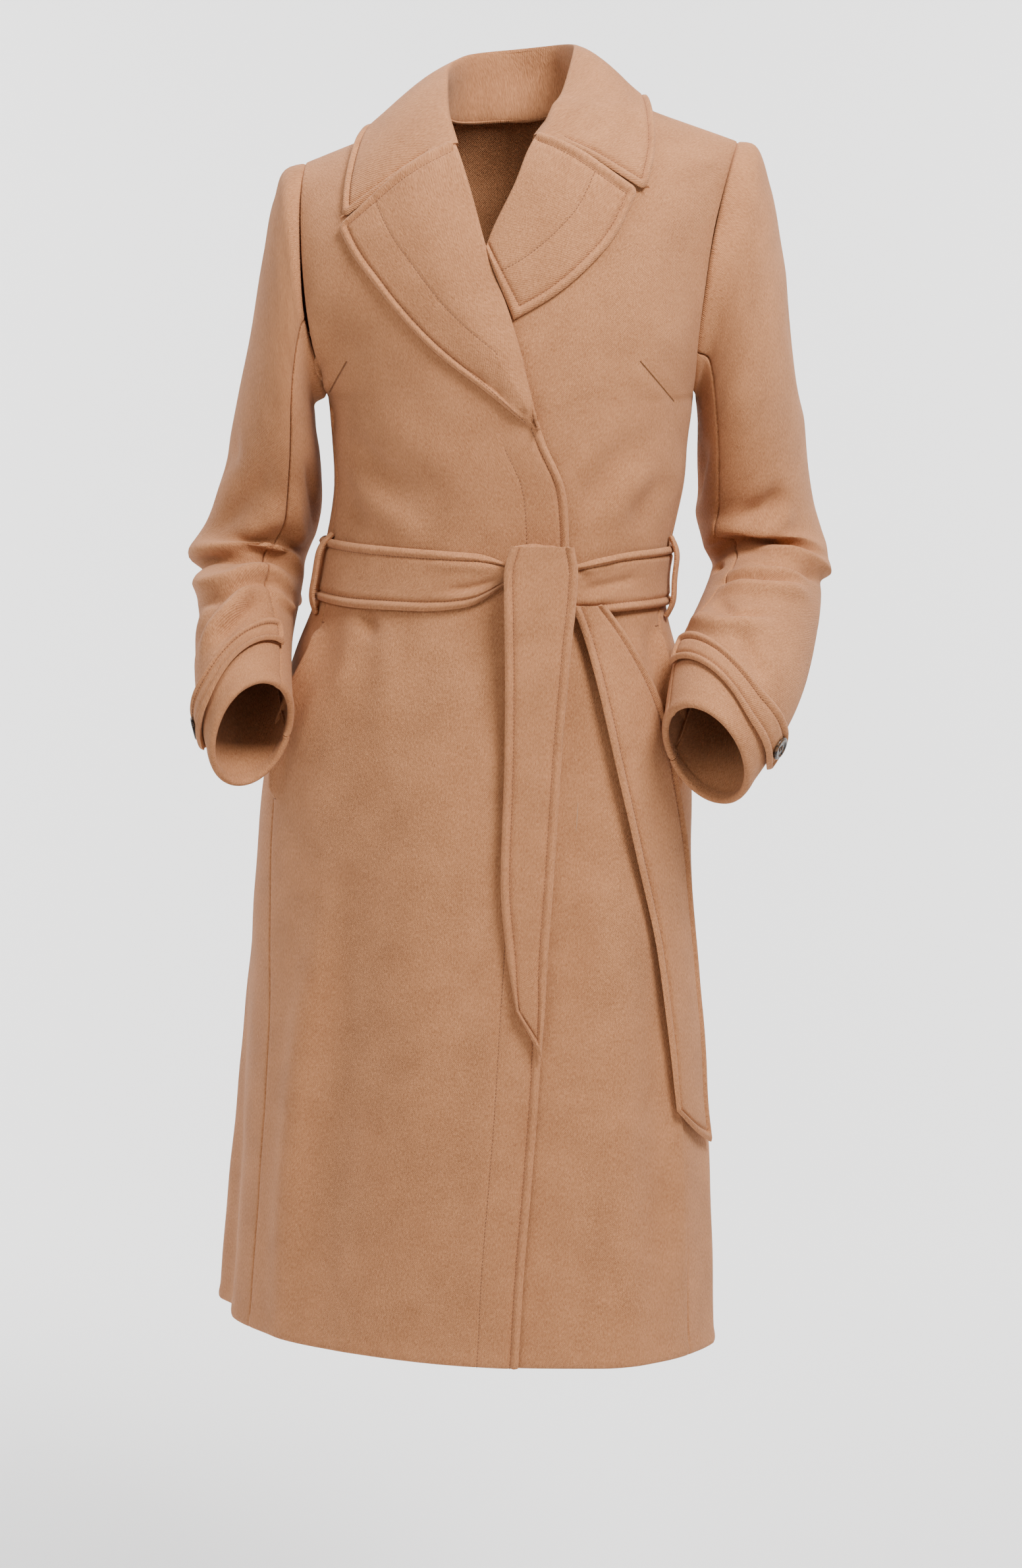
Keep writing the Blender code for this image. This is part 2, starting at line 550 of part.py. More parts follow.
def build_lapel(name, rows, side):
    rows = rising(rows)

    def place(u, v):
        away = 1.0 - u if side == "right" else u      # 0 at the roll, 1 at the outer edge
        roll_height = mix(rows[0].roll_height, rows[-1].roll_height, v)
        if side == "right":
            roll_x = read(FRONT_EDGES, side, roll_height) + 0.0004
        else:
            roll_x = max(read(FRONT_EDGES, "left", roll_height),
                         read(FRONT_EDGES, "right", roll_height) + 0.0015)
        edge_x = read(rows, "edge_x", roll_height)
        edge_height = read(rows, "edge_height", roll_height)
        x = mix(roll_x, edge_x, away)
        height = mix(roll_height, edge_height, away)
        belly = LAPEL_ROLL * sin(pi * min(away / LAPEL_ROLL_WIDTH, 1.0)) * smooth(abs(edge_x - roll_x) / LAPEL_FULL_WIDTH)
        out = DOUBLE_WALL + LAPEL_CLEAR[side] + belly
        if side == "left":
            out += underlap_at(x, height)
        return coat_point(x, height, out)
    lay_sheet(name, (7, 12), place, DOUBLE_WALL)


def place_collar(u, v):
    base = Vector([read(COLLAR, "base_" + axis, u) for axis in "xyz"])
    roll = Vector([read(COLLAR, "roll_" + axis, u) for axis in "xyz"])
    edge_x, edge_z = read(COLLAR, "edge_x", u), read(COLLAR, "edge_z", u)
    edge = Vector((edge_x, read(COLLAR_EDGE_Y, "edge_y", u), edge_z))
    if v < STAND_SHARE:
        return mix(base, roll, smooth(v / STAND_SHARE) * 0.5 + 0.5 * v / STAND_SHARE)
    share = (v - STAND_SHARE) / (1.0 - STAND_SHARE)
    lifted = mix(roll, edge, LEAF_LIFT_SHARE)
    lifted.z = roll.z + ROLL_RISE
    if u < 0.3 or u > 0.7:
        flat = mix(roll, edge, 0.5) + Vector((0.0, -FRONT_LEAF_FORWARD, FRONT_LEAF_RISE))
        lifted = mix(flat, lifted, smooth((u if u < 0.5 else 1.0 - u) / LEAF_FLAT_SHARE))
    return keep_off(bezier(roll, lifted, edge, share), LEAF_CLEAR)


def collar_edge_rows():
    """The leaf edge's depth: given over the shoulders, and lying on the coat in front."""
    rows = []
    for row in COLLAR:
        y = row.edge_y
        if y is None:
            y = coat_point(row.edge_x, row.edge_z, LEAF_CLEAR).y
        rows.append(CollarRow(row.u, 0, 0, 0, 0, 0, 0, row.edge_x, y, row.edge_z))
    return rows


# Sleeves

def ring_point(ring, side, angle):
    """Angle 0 is the outer edge, 90 the front."""
    out = Vector((ring.outer_x - ring.inner_x, 0.0, ring.outer_z - ring.inner_z)) / 2.0
    middle = Vector(((ring.outer_x + ring.inner_x) / 2.0, ring.middle_y, (ring.outer_z + ring.inner_z) / 2.0))
    pitch, turn = radians(ring.pitch), radians(ring.turn)
    hand = -1.0 if side == "right" else 1.0
    ahead = Vector((hand * sin(turn), -cos(turn) * cos(pitch), cos(turn) * sin(pitch)))
    return middle + out * cos(radians(angle)) + ahead * (ring.depth * sin(radians(angle)))


def armhole_ring(side, angle):
    share = (1.0 + cos(radians(angle))) / 2.0
    point = armhole_point(side, share, sin(radians(angle)) < 0)
    hand = -1.0 if side == "right" else 1.0
    return point + Vector((hand * (ARMHOLE_CLEAR + UNDERARM_CLEAR * (1.0 - share) ** 4), 0.0, 0.0))


def sleeve_point(side, angle, along):
    rings = SLEEVE_RIGHT if side == "right" else SLEEVE_LEFT
    place = along * len(rings)
    index = min(int(place), len(rings) - 1)
    points = [armhole_ring(side, angle)] + [ring_point(ring, side, angle) for ring in rings]
    share = place - index
    before, after = points[index], points[index + 1]
    lead = points[index - 1] if index > 0 else before
    trail = points[index + 2] if index + 2 < len(points) else after
    start, end = (after - lead) / 2.0, (trail - before) / 2.0
    if index == 0:
        start = after - before
    if index == len(points) - 2:
        end = after - before
    rise = after - before
    return (before + start * share + (3 * rise - 2 * start - end) * share ** 2
            + (start + end - 2 * rise) * share ** 3)


def front_seam(side, along):
    return read(FRONT_SEAM, side, along)


def seam_slack(side, seam, along):
    """Degrees to keep free on one side of a sleeve seam, measured square to the seam."""
    along = min(max(along, 0.01), 0.99)
    angle = seam(along)
    across = sleeve_point(side, angle + 0.5, along) - sleeve_point(side, angle - 0.5, along)
    down = (sleeve_point(side, seam(along + 0.01), along + 0.01)
            - sleeve_point(side, seam(along - 0.01), along - 0.01))
    return SLEEVE_SEAM_GAP / 2.0 / (across.cross(down.normalized()).length)


def build_sleeve(side):
    def front(along):
        return front_seam(side, along)

    upper = (lambda along: BACK_SEAM - 360.0, front)
    under = (front, lambda along: BACK_SEAM)
    for part, (start, end) in (("upper", upper), ("under", under)):
        def place(u, v):
            share = u if side == "right" else 1.0 - u
            along = 1.0 - v
            first = start(along) + seam_slack(side, start, along)
            last = end(along) - seam_slack(side, end, along)
            return sleeve_point(side, mix(first, last, share), along)
        cells = (12, 20) if part == "upper" else (7, 20)
        lay_sheet("sleeve_" + side + "_" + part, cells, place, edges=(True, False))


# Cuff straps and buttons

def strap_path(side, share, across):
    """A point on the sleeve under the strap, and the way out there: share 1 at the strap's point."""
    along = mix(mix(*STRAP_SEWN, across), mix(*STRAP_ALONG, across), smooth(share / STRAP_SETTLE))
    angle = mix(front_seam(side, along) - 1.0, STRAP_END, share)
    point = sleeve_point(side, angle, along)
    round_it = sleeve_point(side, angle + 1.0, along) - sleeve_point(side, angle - 1.0, along)
    down = sleeve_point(side, angle, along + 0.01) - sleeve_point(side, angle, along - 0.01)
    out = round_it.cross(down).normalized()
    middle = sleeve_point(side, angle, along) + sleeve_point(side, angle + 180.0, along)
    return point, out if out.dot(point - middle / 2.0) > 0.0 else -out


def build_strap(side):
    def place(u, v):
        share = 1.0 - u if side == "right" else u
        tip = smooth((share - 1.0 + STRAP_POINT_SHARE) / STRAP_POINT_SHARE)
        point, out = strap_path(side, share, mix(v, 0.5, tip * STRAP_POINT))
        return point + out * (STRAP_LIFT + DOUBLE_WALL)
    lay_sheet("cuff_strap_" + side, (14, 4), place, DOUBLE_WALL, edges=(False, False))


def build_button(side):
    centre, out = strap_path(side, BUTTON_AT, 0.5)
    bm = bmesh.new()
    bmesh.ops.create_cone(bm, cap_ends=True, segments=24, radius1=BUTTON_RADIUS,
                          radius2=BUTTON_RADIUS * BUTTON_BACK, depth=BUTTON_THICKNESS)
    turn = Vector((0.0, 0.0, 1.0)).rotation_difference(out).to_matrix()
    bmesh.ops.rotate(bm, verts=bm.verts, matrix=turn)
    seat = centre + out * (STRAP_LIFT + DOUBLE_WALL + BUTTON_CLEAR + BUTTON_THICKNESS / 2.0)
    bmesh.ops.translate(bm, verts=bm.verts, vec=seat)
    make_object("cuff_button_" + side, bm, "horn", HORN)


# Belt

def build_band():
    def place(u, v):
        angle = mix(BELT[0].angle, BELT[-1].angle, u)
        height = mix(read(BELT, "bottom", angle), read(BELT, "top", angle), v)
        return body_point(angle, height, BELT_CLEAR + DOUBLE_WALL)
    lay_sheet("belt_band", (40, 2), place, DOUBLE_WALL, edges=(False, False))


def build_knot():
    x, height = KNOT_CENTRE
    half_x, half_z, half_y = KNOT_HALF
    seat = coat_point(x, height).y - half_y - KNOT_CLEAR
    bm = bmesh.new()
    bmesh.ops.create_grid(bm, x_segments=16, y_segments=3, size=0.5)
    for vert in bm.verts:
        turn, across = 2.0 * pi * (vert.co.x + 0.5), 2.0 * vert.co.y
        swell = 1.0 - KNOT_TAPER * across ** 2
        vert.co = Vector((x + half_x * across, seat - half_y * swell * cos(turn), height + half_z * swell * sin(turn)))
    bmesh.ops.remove_doubles(bm, verts=bm.verts, dist=KNOT_MERGE)
    bmesh.ops.recalc_face_normals(bm, faces=bm.faces)
    thicken = make_object("belt_knot", bm, "camel_wool", CLOTH).modifiers.new("wall", "SOLIDIFY")
    thicken.thickness = DOUBLE_WALL
    thicken.offset = -1.0


def build_tail(name, rows, slant):
    rows = rising(rows)

    def place(u, v):
        height = mix(rows[0].height, rows[-1].height, v)
        x = mix(read(rows, "left", height), read(rows, "right", height), u)
        height += slant * u * (1.0 - smooth(v / TAIL_SLANT_SHARE))
        return coat_point(x, height, read(rows, "standoff", height))
    lay_sheet(name, (3, 18), place, DOUBLE_WALL, edges=(False, False))


def build_loop(side):
    angle = read(SIDE_SEAMS, side, KNOT_CENTRE[1])

    def place(u, v):
        wide = degrees(LOOP_HALF_WIDTH / SIDE_RADIUS) * (2.0 * u - 1.0)
        rise = smooth(min(v, 1.0 - v) / LOOP_RISE_SHARE)
        out = LOOP_CLEAR + LOOP_WALL + LOOP_STAND * rise
        return body_point(angle + wide, mix(LOOP_BOTTOM, LOOP_TOP, v), out)
    lay_sheet("belt_loop_" + side, (2, 10), place, LOOP_WALL, edges=(False, True))


# Pocket bags

def build_pocket_bag(side):
    hand = 1.0 if side == "right" else -1.0

    def place(u, v):
        height = mix(BAG_BOTTOM, BAG_TOP, v)
        reach = u if side == "right" else 1.0 - u
        angle = read(SIDE_SEAMS, side, height) + hand * mix(*BAG_TURN, reach)
        sag = max(sin(pi * v) * sin(pi * mix(BAG_SAG_START, 1.0, reach)), 0.0)
        out = -(WALL + BAG_CLEAR + sag * BAG_SAG)
        if side == "left":
            out += underlap(angle)
        return body_point(angle, height, out)
    lay_sheet("pocket_bag_" + side, (6, 6), place, BAG_WALL, "pocket_cotton", BAG_COTTON, (False, False))


for existing in list(bpy.data.objects):
    bpy.data.objects.remove(existing)
coat = bpy.data.collections.new("wool_wrap_coat")
bpy.context.scene.collection.children.link(coat)

arm_start = {side: armhole_point(side, 0.0, False) for side in ("right", "left")}
shoulder_x = {side: read(ARMHOLE_X, side, 1.0) for side in ("right", "left")}
COLLAR_EDGE_Y = collar_edge_rows()

build_body()
build_lapel("lapel_right", LAPEL_RIGHT, "right")
build_lapel("lapel_left", LAPEL_LEFT, "left")
lay_sheet("collar", (26, 9), place_collar, DOUBLE_WALL, edges=(False, False))
for wearer_side in ("right", "left"):
    build_sleeve(wearer_side)
    build_strap(wearer_side)
    build_button(wearer_side)
    build_loop(wearer_side)
    build_pocket_bag(wearer_side)
build_band()
build_knot()
build_tail("belt_tail_over", TAIL_OVER, TAIL_OVER_SLANT)
build_tail("belt_tail_under", TAIL_UNDER, TAIL_UNDER_SLANT)
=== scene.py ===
import math

import bmesh
import bpy
import numpy as np
from mathutils import Matrix, Vector


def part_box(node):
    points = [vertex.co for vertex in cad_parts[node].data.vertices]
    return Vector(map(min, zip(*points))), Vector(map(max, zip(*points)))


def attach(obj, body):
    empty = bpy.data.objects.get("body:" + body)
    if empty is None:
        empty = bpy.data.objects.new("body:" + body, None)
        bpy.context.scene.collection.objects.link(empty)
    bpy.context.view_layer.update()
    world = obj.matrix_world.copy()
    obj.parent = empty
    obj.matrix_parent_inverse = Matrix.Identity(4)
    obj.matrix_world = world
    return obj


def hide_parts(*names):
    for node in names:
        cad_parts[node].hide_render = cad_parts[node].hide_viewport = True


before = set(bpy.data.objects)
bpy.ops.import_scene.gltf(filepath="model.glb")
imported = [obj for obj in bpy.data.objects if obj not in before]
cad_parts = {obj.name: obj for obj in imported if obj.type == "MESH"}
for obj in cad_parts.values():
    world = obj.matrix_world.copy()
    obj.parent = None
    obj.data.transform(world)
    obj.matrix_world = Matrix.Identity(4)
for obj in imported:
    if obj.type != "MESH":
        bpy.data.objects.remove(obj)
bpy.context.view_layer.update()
print("frame loaded,", len(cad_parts), "nodes")

# Everything is in metres, the wearer faces -Y, and the wearer's right is -X


def addObject(name, data):
    piece = bpy.data.objects.new(name, data)
    bpy.context.scene.collection.objects.link(piece)
    return piece


def meshFrom(bm, name):
    mesh = bpy.data.meshes.new(name)
    bm.to_mesh(mesh)
    bm.free()
    return mesh


# Camera, floor and light

view = {
    "place": (0.0, -3.5, -0.177),
    "downDegrees": 6.41,
    "lens": 92.87,
    "sensor": 36.0,
}
room = {
    "floor": -1.48,
    "half": 9.0,
    "wallAt": 4.0,
    "coveRadius": 1.5,
    "coveSteps": 12,
    "wallTop": 7.0,
    "paper": (0.86, 0.855, 0.85, 1.0),
    "paperRoughness": 0.9,
    "sky": (0.95, 0.97, 1.0, 1.0),
    "skyStrength": 0.30,
}
coatMiddle = (0.0, 0.0, -0.45)      # a lamp with no aim of its own points here
lamps = {
    "key": {"at": (0.95, -1.5, 1.5), "size": 1.0, "power": 138.0},
    "fill": {"at": (-1.9, -2.3, 1.4), "size": 2.2, "power": 58.0},
    "top": {"at": (0.3, 0.2, 2.4), "size": 1.4, "power": 44.0},
    "back": {"at": (-1.9, 1.7, 1.8), "size": 1.0, "power": 42.0},
    "wallLeft": {"at": (-3.0, 1.6, 0.8), "size": 1.6, "power": 185.0, "aim": (-1.5, 4.0, -0.2)},
    "wallRight": {"at": (3.0, 1.6, 0.8), "size": 1.6, "power": 185.0, "aim": (1.5, 4.0, -0.2)},
}


def addCamera():
    data = bpy.data.cameras.new("camera")
    data.sensor_fit = "VERTICAL"
    data.sensor_width = view["sensor"]
    data.sensor_height = view["sensor"]
    data.lens = view["lens"]
    camera = addObject("camera", data)
    camera.location = view["place"]
    camera.rotation_euler = (math.radians(90.0 - view["downDegrees"]), 0.0, 0.0)
    bpy.context.scene.camera = camera


def addLamp(name, lamp):
    data = bpy.data.lights.new(name, "AREA")
    data.shape = "DISK"
    data.size = lamp["size"]
    data.energy = lamp["power"]
    piece = addObject(name, data)
    piece.location = lamp["at"]
    aim = Vector(lamp.get("aim", coatMiddle)) - Vector(lamp["at"])
    piece.rotation_euler = aim.to_track_quat("-Z", "Y").to_euler()


def onlyVerts(items):
    return [item for item in items if isinstance(item, bmesh.types.BMVert)]


def addStage():
    half, low, cove = room["half"], room["floor"], room["coveRadius"]
    bm = bmesh.new()
    start = bm.verts.new((-half, -half, low))
    foot = bm.verts.new((-half, room["wallAt"] - cove, low))
    bm.edges.new((start, foot))
    bend = bmesh.ops.spin(bm, geom=[foot], cent=(-half, foot.co.y, low + cove), axis=(1.0, 0.0, 0.0),
                          angle=math.radians(90.0), steps=room["coveSteps"])
    last = onlyVerts(bend["geom_last"])[0]
    top = bm.verts.new((-half, last.co.y, room["wallTop"]))
    bm.edges.new((last, top))
    wide = bmesh.ops.extrude_edge_only(bm, edges=list(bm.edges))
    bmesh.ops.translate(bm, verts=onlyVerts(wide["geom"]), vec=(2.0 * half, 0.0, 0.0))
    bmesh.ops.recalc_face_normals(bm, faces=bm.faces)
    mesh = meshFrom(bm, "floor")
    mesh.shade_smooth()
    paper = bpy.data.materials.new("palePaper")
    paper.use_nodes = True
    shader = paper.node_tree.nodes["Principled BSDF"]
    shader.inputs["Base Color"].default_value = room["paper"]
    shader.inputs["Roughness"].default_value = room["paperRoughness"]
    mesh.materials.append(paper)
    addObject("floor", mesh)
    world = bpy.data.worlds.new("studio")
    world.use_nodes = True
    world.node_tree.nodes["Background"].inputs["Color"].default_value = room["sky"]
    world.node_tree.nodes["Background"].inputs["Strength"].default_value = room["skyStrength"]
    bpy.context.scene.world = world


addCamera()
addStage()
for lampName, lampValues in lamps.items():
    addLamp(lampName, lampValues)
print("camera, floor and lights")

# Node groups that the materials share


def fill(node, values):
    # a value that is another node's output is joined to the socket, any other is set on it
    for socket, value in values.items():
        if isinstance(value, bpy.types.NodeSocket):
            node.id_data.links.new(value, node.inputs[socket])
        else:
            node.inputs[socket].default_value = value


def addNode(nodes, kind, values, **settings):
    node = nodes.new(kind)
    for key, value in settings.items():
        setattr(node, key, value)
    fill(node, values)
    return node.outputs


def maths(nodes, operation, *values, clamp=False):
    return addNode(nodes, "ShaderNodeMath", dict(enumerate(values)), operation=operation, use_clamp=clamp)[0]


def vectors(nodes, operation, values, output=0):
    return addNode(nodes, "ShaderNodeVectorMath", values, operation=operation)[output]


def mapped(nodes, value, fromMin, fromMax, toMin, toMax, kind="LINEAR"):
    values = {"Value": value, "From Min": fromMin, "From Max": fromMax, "To Min": toMin, "To Max": toMax}
    return addNode(nodes, "ShaderNodeMapRange", values, interpolation_type=kind)["Result"]


def noise(nodes, place, scale, detail, roughness=0.5, distortion=0.0):
    return addNode(nodes, "ShaderNodeTexNoise", {"Vector": place, "Scale": scale, "Detail": detail,
                                                 "Roughness": roughness, "Distortion": distortion})["Fac"]


def mixColor(nodes, share, first, second, blend="MIX"):
    values = {"Factor": share, 6: first, 7: second}
    return addNode(nodes, "ShaderNodeMix", values, data_type="RGBA", blend_type=blend)[2]


def bumped(nodes, height, strength, distance):
    values = {"Height": height, "Strength": strength, "Distance": distance}
    return addNode(nodes, "ShaderNodeBump", values)["Normal"]


def newGroup(name, inputs, outputs):
    # inputs: label, kind and value; outputs: label and kind
    group = bpy.data.node_groups.new(name, "ShaderNodeTree")
    for label, kind, value in inputs:
        socket = group.interface.new_socket(label, in_out="INPUT", socket_type="NodeSocket" + kind)
        if value is not None:
            socket.default_value = value
    for label, kind in outputs:
        group.interface.new_socket(label, in_out="OUTPUT", socket_type="NodeSocket" + kind)
    return group, group.nodes, group.nodes.new("NodeGroupInput").outputs


def makeNapGroup():
    # matted fibres: fine speckle over soft clouds of pressed and raised pile
    group, nodes, given = newGroup(
        "nap",
        [("Vector", "Vector", None), ("Fibre Scale", "Float", 820.0), ("Cloud Scale", "Float", 26.0),
         ("Stretch", "Float", 0.45)],
        [("Height", "Float"), ("Cloud", "Float"), ("Speckle", "Float")])
    along = addNode(nodes, "ShaderNodeCombineXYZ", {"X": 1.0, "Y": given["Stretch"], "Z": 1.0})[0]
    drawn = vectors(nodes, "MULTIPLY", {0: given["Vector"], 1: along})
    fibre = noise(nodes, drawn, given["Fibre Scale"], detail=3.0, roughness=0.65, distortion=0.6)
    cloud = noise(nodes, given["Vector"], given["Cloud Scale"], detail=5.0, roughness=0.6, distortion=0.3)
    pile = noise(nodes, drawn, 360.0, detail=2.0)
    height = maths(nodes, "ADD", fibre, maths(nodes, "MULTIPLY", pile, 0.55))
    addNode(nodes, "NodeGroupOutput", {"Height": height, "Cloud": cloud, "Speckle": fibre})
    return group


def makeTwillGroup():
    # slanted ribs of the weave, which show through where the pile is thin
    group, nodes, given = newGroup(
        "twill",
        [("Vector", "Vector", None), ("Period", "Float", 0.0019), ("Cover", "Float", 0.5)],
        [("Rib", "Float")])
    place = addNode(nodes, "ShaderNodeSeparateXYZ", {0: given["Vector"]})
    lean = maths(nodes, "SUBTRACT", place["Y"], maths(nodes, "MULTIPLY", place["X"], 1.15))
    wander = noise(nodes, given["Vector"], 160.0, detail=2.0)
    turns = maths(nodes, "DIVIDE", maths(nodes, "MULTIPLY_ADD", wander, 0.0011, lean), given["Period"])
    wave = maths(nodes, "SINE", maths(nodes, "MULTIPLY", turns, 2.0 * math.pi))
    bare = mapped(nodes, noise(nodes, given["Vector"], 14.0, detail=3.0), 0.3, 0.7, 0.35, 1.0)
    rib = maths(nodes, "MULTIPLY", maths(nodes, "MULTIPLY", wave, bare), given["Cover"])
    addNode(nodes, "NodeGroupOutput", {"Rib": rib})
    return group


def makeToneGroup():
    # a colour between dark and light, moved by the clouds, the speckle, the ribs and the worn edges
    group, nodes, given = newGroup(
        "tone",
        [("Dark", "Color", (0.4, 0.2, 0.1, 1.0)), ("Light", "Color", (0.6, 0.4, 0.2, 1.0)),
         ("Cloud", "Float", 0.5), ("Speckle", "Float", 0.5), ("Rib", "Float", 0.0), ("Edge", "Float", 0.0)],
        [("Color", "Color")])
    cloud = mapped(nodes, given["Cloud"], 0.3, 0.7, 0.34, 0.62)
    speck = mapped(nodes, given["Speckle"], 0.3, 0.7, -0.36, 0.36)
    ribbed = maths(nodes, "MULTIPLY_ADD", given["Rib"], 0.17, maths(nodes, "ADD", cloud, speck))
    worn = maths(nodes, "MULTIPLY_ADD", given["Edge"], 0.14, ribbed)
    addNode(nodes, "NodeGroupOutput", {"Color": mixColor(nodes, worn, given["Dark"], given["Light"])})
    return group


def makeCreaseGroup():
    # one where a place lies on the straight line from start to end, as seen from the front
    group, nodes, given = newGroup(
        "crease",
        [("Vector", "Vector", None), ("Start", "Vector", None), ("Run", "Vector", None), ("Reach", "Float", 0.001)],
        [("Mask", "Float")])
    run = given["Run"]
    flat = vectors(nodes, "MULTIPLY", {0: given["Vector"], 1: (1.0, 0.0, 1.0)})
    away = vectors(nodes, "SUBTRACT", {0: flat, 1: given["Start"]})
    along = vectors(nodes, "DOT_PRODUCT", {0: away, 1: run}, "Value")
    whole = vectors(nodes, "DOT_PRODUCT", {0: run, 1: run}, "Value")
    share = maths(nodes, "DIVIDE", along, whole, clamp=True)
    nearest = vectors(nodes, "SCALE", {0: run, "Scale": share})
    gap = vectors(nodes, "DISTANCE", {0: away, 1: nearest}, "Value")
    mask = mapped(nodes, maths(nodes, "DIVIDE", gap, given["Reach"]), 0.0, 1.0, 1.0, 0.0, "SMOOTHSTEP")
    addNode(nodes, "NodeGroupOutput", {"Mask": mask})
    return group


napGroup = makeNapGroup()
creaseGroup = makeCreaseGroup()
twillGroup = makeTwillGroup()
toneGroup = makeToneGroup()


def useGroup(nodes, group, values):
    return addNode(nodes, "ShaderNodeGroup", values, node_tree=group)


# Materials

woolLook = {
    "dark": (0.255, 0.099, 0.038, 1.0),
    "light": (0.496, 0.220, 0.099, 1.0),
    "roughness": 0.92,
    "roughSpread": 0.06,
    "ribCover": 0.6,
    "ribRelief": 0.34,
    "bump": 0.85,
    "bumpDistance": 0.0009,
    "sheen": 0.10,
    "sheenRoughness": 0.5,
    "sheenTint": (0.92, 0.74, 0.58, 1.0),
    "specular": 0.2,
}
# the dart's shade colour is painted shade: it is multiplied into the wool along the dart's crease
dartLook = {"reach": 0.0011, "paintedShade": (0.42, 0.36, 0.32, 1.0), "sink": 1.6}
threadLook = {
    "dark": (0.115, 0.042, 0.015, 1.0),
    "light": (0.21, 0.082, 0.033, 1.0),
    "roughness": 0.66,
    "fibreScale": 2600.0,
    "cloudScale": 300.0,
    "bump": 0.4,
    "bumpDistance": 0.0002,
}
bagLook = {
    "dark": (0.26, 0.13, 0.064, 1.0),
    "light": (0.40, 0.22, 0.12, 1.0),
    "roughness": 0.8,
    "fibreScale": 2200.0,
    "ribPeriod": 0.0008,
    "bump": 0.3,
    "bumpDistance": 0.0002,
}
hornLook = {
    "dark": (0.012, 0.008, 0.006, 1.0),
    "light": (0.17, 0.085, 0.04, 1.0),
    "grainScale": 150.0,
    "streak": (0.46, 0.72),
    "polish": (0.2, 0.4),
    "bump": 0.15,
    "bumpDistance": 0.0002,
    "coat": 0.04,
    "specular": 0.25,
}


def newMaterial(name):
    surface = bpy.data.materials.new(name)
    surface.use_nodes = True
    nodes = surface.node_tree.nodes
    return surface, nodes, nodes["Principled BSDF"]


def weaveOf(nodes):
    return addNode(nodes, "ShaderNodeUVMap", {}, uv_map="weave")["UV"]


def placeOf(nodes):
    return addNode(nodes, "ShaderNodeTexCoord", {})["Object"]


def toned(nodes, look, nap, **more):
    values = {"Dark": look["dark"], "Light": look["light"], "Cloud": nap["Cloud"], "Speckle": nap["Speckle"]}
    return useGroup(nodes, toneGroup, {**values, **more})["Color"]


def makeWool(name, dart=None):
    look = woolLook
    surface, nodes, shader = newMaterial(name)
    weave = weaveOf(nodes)
    nap = useGroup(nodes, napGroup, {"Vector": weave})
    rib = useGroup(nodes, twillGroup, {"Vector": weave, "Cover": look["ribCover"]})["Rib"]
    edge = addNode(nodes, "ShaderNodeAttribute", {}, attribute_name="edge")["Fac"]
    color = toned(nodes, look, nap, Rib=rib, Edge=edge)
    relief = maths(nodes, "MULTIPLY_ADD", rib, look["ribRelief"], nap["Height"])
    # painted shade: the colour is darkened along the dart's sewn crease, where the groove's shadow falls, and the
    # relief sinks there too
    if dart:
        (x0, z0), (x1, z1) = dart
        dartShadeLine = useGroup(nodes, creaseGroup, {"Vector": placeOf(nodes), "Start": (x0, 0.0, z0),
                                             "Run": (x1 - x0, 0.0, z1 - z0), "Reach": dartLook["reach"]})["Mask"]
        color = mixColor(nodes, dartShadeLine, color, dartLook["paintedShade"], "MULTIPLY")
        relief = maths(nodes, "MULTIPLY_ADD", dartShadeLine, -dartLook["sink"], relief)
    middle, spreadBy = look["roughness"], look["roughSpread"]
    fill(shader, {"Base Color": color,
                  "Roughness": mapped(nodes, nap["Cloud"], 0.3, 0.7, middle - spreadBy, middle + spreadBy),
                  "Normal": bumped(nodes, relief, look["bump"], look["bumpDistance"]),
                  "Sheen Weight": look["sheen"], "Sheen Roughness": look["sheenRoughness"],
                  "Sheen Tint": look["sheenTint"], "Specular IOR Level": look["specular"]})
    return surface


def makeThread():
    look = threadLook
    surface, nodes, shader = newMaterial("tonalThread")
    nap = useGroup(nodes, napGroup, {"Vector": placeOf(nodes), "Fibre Scale": look["fibreScale"],
                                     "Cloud Scale": look["cloudScale"]})
    fill(shader, {"Base Color": toned(nodes, look, nap), "Roughness": look["roughness"],
                  "Normal": bumped(nodes, nap["Height"], look["bump"], look["bumpDistance"])})
    return surface


def makeBagCotton():
    look = bagLook
    surface, nodes, shader = newMaterial("bagCotton")
    weave = weaveOf(nodes)
    nap = useGroup(nodes, napGroup, {"Vector": weave, "Fibre Scale": look["fibreScale"]})
    rib = useGroup(nodes, twillGroup, {"Vector": weave, "Period": look["ribPeriod"], "Cover": 1.0})["Rib"]
    fill(shader, {"Base Color": toned(nodes, look, nap, Rib=rib), "Roughness": look["roughness"],
                  "Normal": bumped(nodes, rib, look["bump"], look["bumpDistance"])})
    return surface


def makeHorn():
    look = hornLook
    surface, nodes, shader = newMaterial("darkHorn")
    grain = noise(nodes, placeOf(nodes), look["grainScale"], detail=5.0, roughness=0.65, distortion=2.4)
    streak = mapped(nodes, grain, *look["streak"], 0.0, 1.0)
    fill(shader, {"Base Color": mixColor(nodes, streak, look["dark"], look["light"]),
                  "Roughness": mapped(nodes, grain, 0.3, 0.7, *look["polish"]),
                  "Normal": bumped(nodes, grain, look["bump"], look["bumpDistance"]),
                  "Coat Weight": look["coat"], "Specular IOR Level": look["specular"]})
    return surface


wool = makeWool("camelWool")
thread = makeThread()
bagCotton = makeBagCotton()
horn = makeHorn()
print("materials")

# Reading the outer face of a cloth node, as rows of points

mergeDistance = 0.00001


def around(vert):
    # neighbours in their order round the vertex
    edge = vert.link_edges[0]
    face = edge.link_faces[0]
    order = []
    while edge not in order:
        order.append(edge)
        edge = [other for other in face.edges if other is not edge and vert in other.verts][0]
        face = [other for other in edge.link_faces if other is not face][0]
    return [edge.other_vert(vert) for edge in order]


